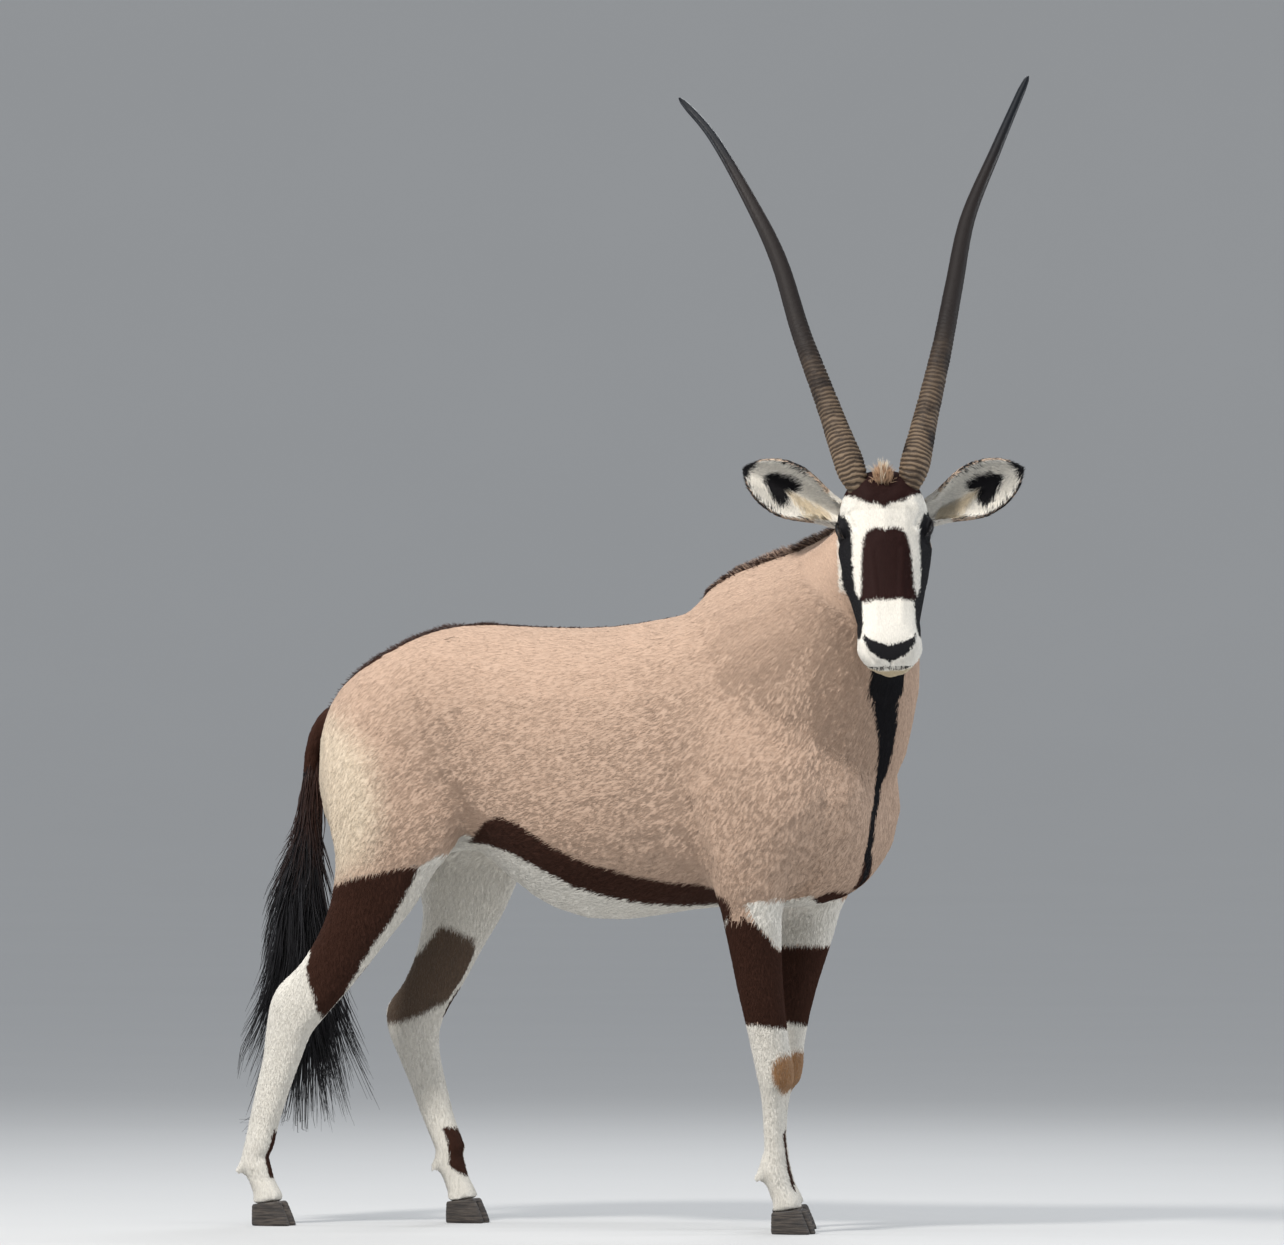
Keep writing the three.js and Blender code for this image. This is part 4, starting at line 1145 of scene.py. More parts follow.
def grid_tube(rings, close_ends=True):
    """Points and faces of a tube through rings of equal length, with a fan at either end."""
    rings = np.asarray(rings)
    around = rings.shape[1]
    points = rings.reshape(-1, 3)
    index = np.arange(len(points)).reshape(-1, around)
    tris = wall_tris(index)
    if close_ends:
        after = np.roll(index, -1, axis=1)
        points = np.concatenate([points, rings[[0, -1]].mean(axis=1)])
        first, last = len(points) - 2, len(points) - 1
        tris.append(np.stack([np.full(around, first), after[0], index[0]], axis=1))
        tris.append(np.stack([np.full(around, last), index[-1], after[-1]], axis=1))
    return points, fronts_out(points, np.concatenate(tris))


def smooth_path(stations, count):
    """Points evenly along a smooth curve through the stations, and the way it runs at each."""
    stations = np.array(stations, float)
    padded = np.vstack([2 * stations[0] - stations[1], stations, 2 * stations[-1] - stations[-2]])
    dense = []
    for k in range(len(stations) - 1):
        a, b, c, d = padded[k:k + 4]
        t = np.linspace(0, 1, 24, endpoint=False)[:, None]
        dense.append(0.5 * (2 * b + (c - a) * t + (2 * a - 5 * b + 4 * c - d) * t ** 2
                            + (3 * b - a - 3 * c + d) * t ** 3))
    dense = np.vstack(dense + [stations[-1:]])
    gone = np.concatenate([[0], np.cumsum(np.linalg.norm(np.diff(dense, axis=0), axis=1))])
    places = np.linspace(0, gone[-1], count)
    path = np.stack([np.interp(places, gone, dense[:, k]) for k in range(3)], axis=1)
    return path, unit(np.gradient(path, axis=0))


# Each horn from its foot to its tip: how far it rises from the head and how far aside it leans, in metres
HORN_FOOT = (-0.119, 0.042)
HORNS = {
    -1: [(-0.052, 0.042), (0.0, 0.058), (0.166, 0.102), (0.323, 0.144), (0.494, 0.180), (0.633, 0.227),
         (0.802, 0.297), (0.905, 0.360)],
    1: [(-0.052, 0.042), (0.0, 0.060), (0.134, 0.093), (0.282, 0.129), (0.427, 0.159), (0.585, 0.193),
        (0.748, 0.255), (0.880, 0.307), (0.934, 0.329)],
}
# A horn's radius by its share of the length
HORN_RADII = [
    (0, 0.0120), (0.032, 0.0195), (0.046, 0.0240), (0.060, 0.0266), (0.080, 0.0277), (0.18, 0.0228), (0.36, 0.0186),
    (0.58, 0.0155), (0.74, 0.0119), (0.88, 0.0091), (0.965, 0.0074), (0.99, 0.0052), (1, 0.0022),
]


def horn_mesh(hand):
    """A horn's smooth core, with how far each point lies along it and round it."""
    stations = []
    for rise, aside in HORNS[hand]:
        sag = 0.55 * rise if rise < 0 else -0.065 * (rise / 0.920) ** 2
        stations.append((HORN_FOOT[0] - rise, hand * aside, HORN_FOOT[1] + sag))
    path, way = smooth_path(stations, 1400)
    rows = np.round(np.concatenate([np.linspace(0, 700, 520), np.linspace(705, 1399, 130)])).astype(int)
    path, way, share = path[rows], way[rows], rows / 1399
    radius = np.interp(share, *np.array(HORN_RADII).T)
    side = unit(np.cross(np.broadcast_to((0, 0, 1.0), way.shape), way))
    up = np.cross(way, side)
    turn = np.linspace(0, 2 * math.pi, 34, endpoint=False)
    oval = 1 + 0.05 * np.cos(2 * turn)
    rings = path[:, None] + radius[:, None, None] * oval[None, :, None] * (
        np.cos(turn)[None, :, None] * side[:, None] + np.sin(turn)[None, :, None] * up[:, None])
    points, tris = grid_tube(rings)
    mesh = new_mesh("horn", from_head(points), tris)
    along = np.concatenate([np.repeat(share, len(turn)), [0, 1]])
    attribute(mesh, "along", along)
    attribute(mesh, "around", np.concatenate([np.tile(turn, len(path)), [0, 0]]))
    attribute(mesh, "girth", np.concatenate([np.repeat(radius, len(turn)), [0.02, 0.002]]))
    return mesh


class Growth(Graph):
    """A geometry tree that works on a mesh: its inputs are named, and it ends in a material."""

    KINDS = {float: "NodeSocketFloat", bpy.types.Material: "NodeSocketMaterial"}

    def __init__(self, name, **inputs):
        self.tree = bpy.data.node_groups.new(name, "GeometryNodeTree")
        self.inputs = inputs
        face = self.tree.interface
        face.new_socket("Geometry", in_out="INPUT", socket_type="NodeSocketGeometry")
        face.new_socket("Geometry", in_out="OUTPUT", socket_type="NodeSocketGeometry")
        for label, value in inputs.items():
            face.new_socket(label, in_out="INPUT", socket_type=self.KINDS[type(value)])
        self.entry = self.tree.nodes.new("NodeGroupInput")
        self.exit = self.tree.nodes.new("NodeGroupOutput")

    def given(self, name):
        return Value(self, self.entry.outputs[name])

    def named(self, name):
        return Value(self, self.node("GeometryNodeInputNamedAttribute", Name=name).outputs["Attribute"])

    def finish(self, geometry, material):
        real = self.node("GeometryNodeRealizeInstances", Geometry=geometry)
        painted = self.node("GeometryNodeSetMaterial", Geometry=Value(self, real.outputs[0]), Material=material)
        self.tree.links.new(painted.outputs[0], self.exit.inputs[0])

    def applied(self, mesh):
        """The mesh that the tree makes of this one."""
        holder = carrier("growing", mesh)
        modifier = holder.modifiers.new("growth", "NODES")
        modifier.node_group = self.tree
        sockets = {item.name: item.identifier for item in self.tree.interface.items_tree if item.in_out == "INPUT"}
        for label, value in self.inputs.items():
            modifier[sockets[label]] = value
        return worked(holder)


def horn_growth():
    """Rings on the lower part of a horn, crowded and deep at its foot, worn away further up."""
    tree = Growth("horn_rings", Rings=float(sizes().horn_rings), Ringed_share=sizes().ringed_share,
                  Depth=0.0023, Material=material_of("horn"))
    along, around, girth = tree.named("along"), tree.named("around"), tree.named("girth")
    share = (along / tree.given("Ringed_share")).least(1.4)
    place = Value(tree, tree.node("GeometryNodeInputPosition").outputs[0])
    wander = (tree.noise(38.0, 4.0, place) - 0.5) * 1.9
    slant = (around - 0.6).wave() * 0.30
    phase = share.power(0.93) * tree.given("Rings") + wander + slant
    saw = phase.fraction()
    ridge = (saw.step(0.0, 0.55) - saw.step(0.70, 1.0)).greatest(0.0)
    front = 0.55 + around.wave() * 0.45
    fade = 1.0 - share.step(0.55, 1.02)
    rough = tree.noise(160.0, 3.0, place) - 0.5
    height = ridge * fade * (0.5 + front * 0.5) * tree.given("Depth") * (girth / 0.025)
    height = height - fade * 0.0012 + rough * 0.0016 * (1.0 - along.step(0.55, 0.8)) + (wander * 0.0012) * fade
    normal = Value(tree, tree.node("GeometryNodeInputNormal").outputs[0])
    offset = tree.node("ShaderNodeVectorMath", operation="SCALE", Vector=normal, Scale=height)
    moved = tree.node("GeometryNodeSetPosition", Geometry=tree.given("Geometry"),
                      Offset=Value(tree, offset.outputs[0]))
    kept = tree.node("GeometryNodeStoreNamedAttribute", Geometry=Value(tree, moved.outputs[0]), Name="ridge",
                     Value=ridge * fade)
    tree.finish(Value(tree, kept.outputs[0]), tree.given("Material"))
    return tree


def make_horns():
    tree = horn_growth()
    for hand, side in SIDES:
        mesh = tree.applied(horn_mesh(hand))
        put("horn_" + side + "_ringed", mesh, material_of("horn"), ["horn_" + side])


def make_eyes():
    radius = sizes().eye_radius
    for hand, side in SIDES:
        look, front, above = eye_axes(hand)
        middle = eye_middle(hand)
        polar = np.linspace(0.01, math.pi - 0.01, 44)
        turn = np.linspace(0, 2 * math.pi, 60, endpoint=False)
        bulge = radius + 0.0010 * np.exp(-(polar / 0.45) ** 4)
        ways = np.cos(polar)[:, None, None] * look + np.sin(polar)[:, None, None] * (
            np.cos(turn)[None, :, None] * front + np.sin(turn)[None, :, None] * above)
        points, tris = grid_tube(middle + ways * bulge[:, None, None])
        offset = unit(points - middle) * radius
        along, up = offset @ front, offset @ above
        mesh = new_mesh("eye", from_head(points), tris)
        attribute(mesh, "pupil", 0.0030 - np.hypot(np.maximum(np.abs(along) - 0.0040, 0), up))
        attribute(mesh, "iris_rim", np.hypot(along, up) + np.where(offset @ look < 0, 1.0, 0) - 0.0115)
        put("eyeball_" + side, mesh, material_of("eye"), ["eye_" + side])

        turn = np.linspace(0, 2 * math.pi, 120, endpoint=False)
        along = np.cos(turn) * LID_HALF
        lid = np.where(np.sin(turn) > 0, *LIDS) * (1 - (along / LID_HALF) ** 2) * np.sign(np.sin(turn))
        ways = along[:, None] / radius * front + lid[:, None] / radius * above
        ways = unit(ways + look * np.sqrt(np.maximum(1 - (ways ** 2).sum(axis=1), 0.02))[:, None])
        rim = middle + ways * 0.0212
        way = unit(np.roll(rim, -1, axis=0) - np.roll(rim, 1, axis=0))
        outward = unit(rim - middle)
        across = np.cross(way, outward)
        small = np.linspace(0, 2 * math.pi, 10, endpoint=False)
        thick = 0.00125
        rings = rim[:, None] + thick * (np.cos(small)[None, :, None] * across[:, None]
                                        + 1.1 * np.sin(small)[None, :, None] * outward[:, None])
        rings = np.concatenate([rings, rings[:1]])
        points, tris = grid_tube(rings, close_ends=False)
        index = (len(rings) - 1) * len(small)
        tris = np.where(tris >= index, tris - index, tris)
        put("lid_rim_" + side, new_mesh("lid", from_head(points[:index]), tris), material_of("lid"))


HOOF_VOXEL = 0.0021


def make_hooves():
    for leg in LEG_NAMES:
        claws = [leg + "_claw_inner", leg + "_claw_outer"]
        points, tris = [], []
        for name in claws:
            corners, faces = swollen(name, 0.0)
            tris.append(faces + sum(len(block) for block in points))
            points.append(corners)
        points, tris = np.concatenate(points), np.concatenate(tris)
        mesh = remeshed("claws", new_mesh("claws", points, tris), HOOF_VOXEL)
        points, faces = arrays_of(mesh)
        smoother = Smoother(mesh_edges(mesh), len(points))
        softened = smoother.run(points, 14)
        softened += smoother.run(points - softened, 14) * 0.9
        lift = np.sin(softened[:, 2] * 900) * 0.00025 * smoothstep(0.004, 0.012, softened[:, 2])
        softened += vertex_normals(softened, faces) * lift[:, None]
        softened[:, 2] = np.where(points[:, 2] < 0.0025, points[:, 2], softened[:, 2])
        softened[:, 2] = np.maximum(softened[:, 2], points[:, 2].min())
        move_points(mesh, softened)
        put("hooves_" + leg, mesh, material_of("hoof"), claws)


# Corners round a hair, hairs in a lock of the tail, and how far back the tail's hair may hang freely
HAIR_SIDES, LOCK_HAIRS, TAIL_BACK = 3, 13, -0.858


def strands(paths, widths, turned):
    """Many thin tubes along paths (strand, step, xyz), with a width at each step: points and triangles."""
    count, steps = paths.shape[:2]
    way = unit(np.gradient(paths, axis=1))
    fixed = np.zeros_like(way)
    fixed[..., 0] = 1
    fixed[np.abs(way[..., 0]) > 0.8] = (0, 1, 0)
    side = unit(np.cross(way, fixed))
    up = np.cross(way, side)
    turn = np.arange(HAIR_SIDES) * 2 * math.pi / HAIR_SIDES + turned[:, None]
    ring = np.cos(turn)[:, None, :, None] * side[:, :, None] + np.sin(turn)[:, None, :, None] * up[:, :, None]
    points = (paths[:, :, None] + ring * widths[:, :, None, None]).reshape(-1, 3)
    index = np.arange(steps * HAIR_SIDES).reshape(steps, HAIR_SIDES)
    one = np.concatenate(wall_tris(index) + [index[:1, [0, 2, 1]], index[-1:, [1, 2, 0]]])
    tris = (one[None] + (np.arange(count) * steps * HAIR_SIDES)[:, None, None]).reshape(-1, 3)
    return points, tris


# The tail's dock: along and up
DOCK = [(-0.618, 1.012), (-0.662, 1.000), (-0.692, 0.962), (-0.706, 0.900), (-0.712, 0.830), (-0.713, 0.760),
        (-0.712, 0.700), (-0.712, 0.672)]


def make_tail():
    """The tail's long black hair, in locks that hang from the dock and part over the leg."""
    chance = np.random.default_rng(TAIL_SEED)
    locks, hairs = sizes().tail_locks, LOCK_HAIRS
    dock, _ = smooth_path([(a, 0, b) for a, b in DOCK], 60)
    count = locks * hairs
    lock = np.repeat(np.arange(locks), hairs)
    share = np.linspace(0.30, 1.0, locks)[lock] + chance.normal(0, 0.012, count)
    angle = (np.arange(locks) * 2.39996)[lock] + chance.normal(0, 0.10, count)
    root = dock[np.clip((share * 59).astype(int), 0, 59)].copy()
    out = np.stack([np.cos(angle), np.sin(angle), np.zeros(count)], axis=1)
    root += out * chance.uniform(0.002, 0.012, count)[:, None]
    long = np.interp(share, [0.3, 0.5, 0.75, 1.0], [0.16, 0.32, 0.46, 0.50])
    long *= (1 + 0.20 * chance.standard_normal(locks)[lock] * 0.7) * chance.uniform(0.82, 1.05, count)
    reach = (0.05 + 0.20 * chance.uniform(0, 1, locks) ** 1.3)[lock] * np.interp(share, [0.3, 0.7], [0.35, 1])
    steps = 10
    t = np.linspace(0, 1, steps)
    drop = long[:, None] * t * (1 - 0.10 * t)
    sway = (long * reach)[:, None] * (0.35 * t + 0.65 * t ** 2)
    wave = 0.006 * np.sin(t[None] * 7 + chance.uniform(0, 6, locks)[lock][:, None]) * t
    paths = root[:, None] + np.stack([
        out[:, :1] * sway * 1.25 + wave - 0.035 * long[:, None] * t,
        out[:, 1:2] * sway * 0.45 + wave[:, ::-1] * 0.4,
        -drop,
    ], axis=2)
    spread = chance.normal(0, 1, (count, 3)) * 0.0055
    paths += spread[:, None] * (t * (1 - 0.75 * t ** 3))[None, :, None] * 1.8
    bulge = np.exp(-((paths[..., 2] - 0.66) / 0.11) ** 2) * 0.030
    paths[..., 0] -= bulge * np.clip((-0.700 - paths[..., 0]) / 0.03, 0, 1) * t
    beyond = paths[..., 0] < TAIL_BACK
    paths[..., 0] = np.where(beyond, TAIL_BACK + (paths[..., 0] - TAIL_BACK) * 0.25, paths[..., 0])
    paths[..., 2] = np.maximum(paths[..., 2], 0.175 + 0.03 * chance.random((count, 1)))
    widths = np.interp(t, [0, 0.1, 0.6, 1], [0.6, 1, 0.9, 0.15])[None] * chance.uniform(0.0010, 0.0018, count)[:, None]
    points, tris = strands(paths + OFFSET, widths, chance.uniform(0, 6, count))
    mesh = new_mesh("tail", points, tris)
    tint = np.array(colours().black) * chance.uniform(0.6, 1.9, (count, 1))
    brown = np.array(colours().dark) * 1.1
    share_brown = np.clip(1 - (share - 0.30) / 0.25, 0, 1)[:, None] * 0.8
    tint = tint * (1 - share_brown) + brown * share_brown
    colour_attribute(mesh, np.repeat(tint, steps * HAIR_SIDES, axis=0))
    root_uv(mesh, np.repeat(np.stack([share, (angle / (2 * math.pi)) % 1], axis=1), len(tris) // count, axis=0))
    put("tail_hair", mesh, material_of("long_hair"), ["tail_tuft"])


def root_uv(mesh, roots, patch=0.003):
    """The bake map: each triangle on a small patch at its tuft's place on the unwrap of the skin."""
    layer = mesh.uv_layers.new(name="OFBake")
    corners = np.array([(0, 0), (1, 0), (0.5, 1)]) * patch
    low, high = roots.min(axis=0), roots.max(axis=0)
    placed = 0.004 + (roots - low) / np.maximum(high - low, 1e-9) * (0.992 - patch)
    layer.data.foreach_set("uv", (placed[:, None] + corners[None]).astype(np.float32).ravel())


# Coat

# The neck's crest from the withers to the poll
CREST = [(0.060, 0, 1.200), (0.130, 0, 1.238), (0.225, -0.014, 1.286), (0.330, -0.044, 1.316), (0.425, -0.088, 1.350),
         (0.486, -0.116, 1.396), (0.524, -0.128, 1.432)]
# The highest line of the back, from the tail forward
SPINE = [(-0.655, 0, 1.00), (-0.60, 0, 1.07), (-0.53, 0, 1.13), (-0.40, 0, 1.19), (-0.20, 0, 1.20), (0.10, 0, 1.22)]


class Hide:
    """The finished skin's surface, with the lie of the hair at each point."""

    def __init__(self):
        mesh = bpy.data.objects["skin"].data
        self.points, self.tris = arrays_of(mesh)
        self.normals = vertex_normals(self.points, self.tris)
        region = np.empty(len(self.points), np.float32)
        mesh.attributes["region"].data.foreach_get("value", region)
        self.region = np.round(region).astype(int)
        self.smoother = Smoother(edges_of(self.tris), len(self.points))
        self.legs = LegTable(self.points - OFFSET, self.region)
        self.lie = self.flow()
        self.tri_region = self.region[self.tris[:, 0]]
        self.centres = self.points[self.tris].mean(axis=1) - OFFSET
        a, b, c = (self.points[self.tris[:, k]] for k in range(3))
        self.areas = np.linalg.norm(np.cross(b - a, c - a), axis=1) / 2
        self.finder = BVHTree.FromPolygons(self.points.tolist(), self.tris.tolist())

    def settled(self, places):
        """The nearest place on the skin for each of these, and the way out of the skin there."""
        found = [self.finder.find_nearest(place)[:2] for place in places.tolist()]
        return (np.array([tuple(part[k]) for part in found]).reshape(-1, 3) for k in (0, 1))

    def flow(self):
        x, _, z = (self.points - OFFSET).T
        ways = np.tile((-1.0, 0.0, -0.30), (len(self.points), 1))
        rump = smoothstep(-0.30, -0.55, x)
        ways += rump[:, None] * np.array((0.45, 0, -0.75))
        shoulder = smoothstep(0.05, 0.30, x) * smoothstep(1.20, 0.95, z)
        ways += shoulder[:, None] * np.array((0.35, 0, -0.70))
        crest = np.diff(np.array(CREST), axis=0).mean(axis=0)
        neck = self.region == NECK
        ways[neck] = -unit(crest) * 0.9 + np.array((0, 0, -0.75))
        ways[np.isin(self.region, LEGS)] = (-0.12, 0, -1)
        ways[self.region == TAIL] = (-0.2, 0, -1)
        head = self.region == HEAD
        h = to_head(self.points[head])
        face = np.stack([np.where(h[:, 0] < -0.03, 0.9, -1.0), 0.35 * np.sign(h[:, 1]) * np.abs(h[:, 1]) / 0.05,
                         np.zeros(len(h))], axis=1)
        cheek = np.array((-1.0, 0, -0.55))
        around = smoothstep(45, 80, np.degrees(np.arctan2(np.abs(h[:, 1]), h[:, 2] + 0.03)))[:, None]
        ways[head] = way_from_head(face * (1 - around) + cheek * around)
        for number, hand in EARS:
            ear = self.region == number
            _, along, wide, open_way = ear_axes(hand)
            _, up, _ = ear_place(to_head(self.points[ear]), hand)
            inside = smoothstep(0.0, 0.3, way_to_head(self.normals[ear]) @ open_way)[:, None]
            inward = (along * 0.8)[None] + wide[None] * (hand * up / 0.03)[:, None]
            ways[ear] = way_from_head(along[None] * (1 - inside) + inward * inside)
        ways = self.smoother.run(ways, 10)
        ways -= self.normals * np.einsum("ij,ij->i", ways, self.normals)[:, None]
        return unit(ways)

    def roots(self, where, count, chance, density=None):
        """Places spread evenly over the chosen triangles: points, normals, lie and part of the body."""
        chosen = np.flatnonzero(where)
        weight = self.areas[chosen] * (1 if density is None else density[chosen])
        total = np.cumsum(weight)
        places = (np.arange(count) + chance.random(count)) / count * total[-1]
        tri = chosen[np.minimum(np.searchsorted(total, places), len(chosen) - 1)]
        u, v = chance.random((2, count))
        over = u + v > 1
        u[over], v[over] = 1 - u[over], 1 - v[over]
        share = np.stack([1 - u - v, u, v], axis=1)[..., None]
        corners = self.tris[tri]
        spots = (self.points[corners] * share).sum(axis=1)
        normals = unit((self.normals[corners] * share).sum(axis=1))
        ways = (self.lie[corners] * share).sum(axis=1)
        ways = unit(ways - normals * np.einsum("ij,ij->i", ways, normals)[:, None])
        return spots, normals, ways, self.tri_region[tri]


def patches(points, size, seed):
    """Soft random patches over space, from 0 to 1, about this size in metres."""
    chance = np.random.default_rng(seed)
    total = np.zeros(len(points))
    for scale, share in ((1.0, 0.5), (0.45, 0.3), (0.2, 0.2)):
        ways = unit(chance.normal(size=(5, 3))) * (2 * math.pi / (size * scale))
        total += share * np.sin(points @ ways.T + chance.uniform(0, 6.28, 5)).mean(axis=1) * 1.6
    return np.clip(0.5 + total / 2, 0, 1)


def hair_tints(marks, points, on_head, chance, wander):
    """Each tuft's colour, from the same markings as the skin under it."""
    paint = colours()
    count = len(points)
    loose = chance.normal(0, 1, count) * wander

    def lay(colour, over, share):
        share = share[:, None]
        return colour * (1 - share) + np.array(over) * share

    grey = 0.30 * patches(points, 0.12, PATCH_SEED) * chance.random(count) + 0.6 * (chance.random(count) < sizes().hair_grey)
    tint = lay(np.tile(np.array(paint.tan), (count, 1)), paint.grey, np.clip(grey, 0, 1))
    brown = np.where(on_head[:, None], np.array(paint.face), np.array(paint.dark))
    for mark, low, high, spread, strength, over in (
            ("cream", -0.030, 0.045, 6, 0.95, paint.cream), ("white", -0.001, 0.001, 1, 1, paint.white),
            ("fan", -0.004, 0.006, 1, 0.8, paint.straw_and_chin_shade), ("rust", -0.004, 0.004, 2, 0.9, paint.rust),
            ("umber", -0.006, 0.006, 2, 0.95, paint.umber), ("dark", -0.001, 0.001, 1, 1, brown),
            ("black", -0.001, 0.001, 1, 1, paint.black)):
        tint = lay(tint, over, smoothstep(low, high, marks[mark] + loose * spread) * strength)
    return tint * (1 + 0.08 * chance.standard_normal(count))[:, None].clip(0.7, 1.3)


def tuft_mesh(name, hide, spots, normals, ways, shape, tints, roots, lain, chance):
    """One closed sliver for each tuft, its root sunk in the skin and its tip a little off the surface ahead."""
    long, wide, rise = shape
    count = len(spots)
    ways = unit(ways + np.cross(normals, ways) * chance.normal(0, 0.13, count)[:, None])
    across = np.cross(normals, ways)
    middle, tip = spots + ways * (long * 0.45)[:, None], spots + ways * long[:, None]
    middle_out, tip_out = normals.copy(), normals.copy()
    middle[lain], middle_out[lain] = hide.settled(middle[lain])
    tip[lain], tip_out[lain] = hide.settled(tip[lain])
    way = unit(tip - spots)
    held = (np.einsum("ij,ij->i", way, ways) > 0.80) & (np.einsum("ij,ij->i", tip_out, normals) > 0.72)
    held &= np.einsum("ij,ij->i", middle_out, normals) > 0.80
    held &= np.linalg.norm(tip - spots, axis=1) > long * 0.75
    spots, normals, ways, across, middle, tip = (rows[held] for rows in (spots, normals, ways, across, middle, tip))
    middle_out, tip_out, tints, roots, wide, rise = (
        rows[held] for rows in (middle_out, tip_out, tints, roots, wide, rise))
    count = len(spots)
    side = across * (wide * 0.5)[:, None]
    low = spots - normals * 0.0008
    end, bend = tip + tip_out * rise[:, None], middle + middle_out * (rise * 0.75)[:, None]
    above = np.einsum("ij,ij->i", bend - (spots * 0.55 + end * 0.45), normals)
    bend += normals * np.maximum(0.45 * rise - above, 0)[:, None]
    corners = np.stack([low - side, low + side, bend, end], axis=1).reshape(-1, 3)
    one = np.array([(0, 2, 1), (0, 3, 2), (1, 2, 3), (0, 1, 3)])
    tris = (one[None] + (np.arange(count) * 4)[:, None, None]).reshape(-1, 3)
    mesh = new_mesh(name, corners, tris)
    # Painted shade at each tuft's root corners (0.88 times its tint) and painted light at its tip (1.06 times)
    root_shade_and_tip_light = np.array([0.88, 0.88, 1.0, 1.06])
    colour_attribute(mesh, np.clip((tints[:, None] * root_shade_and_tip_light[None, :, None]).reshape(-1, 3), 0, 1))
    root_uv(mesh, np.repeat(roots, 4, axis=0))
    facing = np.stack([normals - across * 0.45, normals + across * 0.45, middle_out, tip_out + ways * 0.25], axis=1)
    mesh.shade_smooth()
    mesh.normals_split_custom_set_from_vertices(unit(facing.reshape(-1, 3)).tolist())
    return mesh


def unwrap(points, region, legs):
    """Where each root lies along and round its part of the body."""
    p = points - OFFSET
    along, round_it = p[:, 0].copy(), np.arctan2(p[:, 1], p[:, 2] - 0.95)
    neck = region == NECK
    along[neck] = p[neck] @ unit(np.array((0.35, -0.12, 0.24)))
    round_it[neck] = np.arctan2(p[neck, 1] + 0.06, p[neck, 2] - p[neck, 0] * 0.6 - 0.85)
    head = (region == HEAD) | (region >= EAR_R)
    h = to_head(points[head])
    along[head], round_it[head] = h[:, 0], np.arctan2(h[:, 1], h[:, 2] + 0.03)
    for number, hand in EARS:
        ear = region == number
        share, up, deep = ear_place(to_head(points[ear]), hand)
        along[ear], round_it[ear] = share, np.arctan2(up, deep + 0.008) + hand * 3.3
    for leg in LEGS:
        mine = region == leg
        t, out, _ = legs.place(leg, p[mine])
        along[mine], round_it[mine] = p[mine, 2], np.arctan2(out, t * 2 - 1) + 6.4 * (leg % 2)
    return np.stack([along, round_it], axis=1)


def tuft_shapes(spots, parts, normals):
    """Each tuft's length, width and rise off the skin, and whether hair grows there, by the part of the body."""
    count = len(spots)
    long, wide, rise = np.full(count, 0.0150), np.full(count, 0.0016), np.full(count, 0.0017)
    grows = np.ones(count, bool)
    long[parts == NECK] = 0.0165
    leg = np.isin(parts, LEGS)
    high = (spots - OFFSET)[leg, 2]
    long[leg] = np.interp(high, [0.05, 0.25, 0.5, 0.7], [0.0065, 0.0075, 0.0095, 0.0130])
    wide[leg] = np.interp(high, [0.05, 0.5, 0.7], [0.0012, 0.0014, 0.0018])
    rise[leg] = np.interp(high, [0.05, 0.5, 0.7], [0.0013, 0.0015, 0.0020])
    head = parts == HEAD
    if head.any():
        at = to_head(spots[head])
        muzzle = smoothstep(0.10, 0.22, at[:, 0])
        back = np.clip(smoothstep(-0.09, -0.14, at[:, 0]) + smoothstep(-0.10, -0.16, at[:, 2]), 0, 1)
        long[head] = 0.0070 - 0.0030 * muzzle + 0.0080 * back
        wide[head] = 0.00125 - 0.0003 * muzzle + 0.0006 * back
        rise[head] = 0.0012 - 0.0005 * muzzle + 0.0008 * back
        sides = folded(at)
        bare = (at[:, 0] > 0.2) & (polygon_field(at[:, 0] - at[:, 2], sides[:, 1], NOSE_PAD) > 0.003)
        bare |= (path_distance(sides, MOUTH)[0] < 0.0060) | (path_distance(sides, NOSTRIL)[0] < 0.004)
        for hand, _ in SIDES:
            _, _, away, inside, _, ahead = eye_opening(at, hand)
            bare |= (inside > -0.0022) & (away < 0.035) & (ahead > 0)
        grows[head] = ~bare
    for part, hand in EARS:
        mine = parts == part
        if mine.any():
            inside, _, rim, fan, _ = ear_marks(to_head(spots[mine]), way_to_head(normals[mine]), hand)
            hairy = (inside > 0.1) & (rim < 0)
            long[mine] = np.where(hairy, 0.0150 + 0.006 * (fan > 0), 0.0085)
            wide[mine] = 0.0012
            rise[mine] = np.where(hairy, 0.0035 + 0.003 * (fan > 0), 0.0016)
    return long, wide, rise, grows


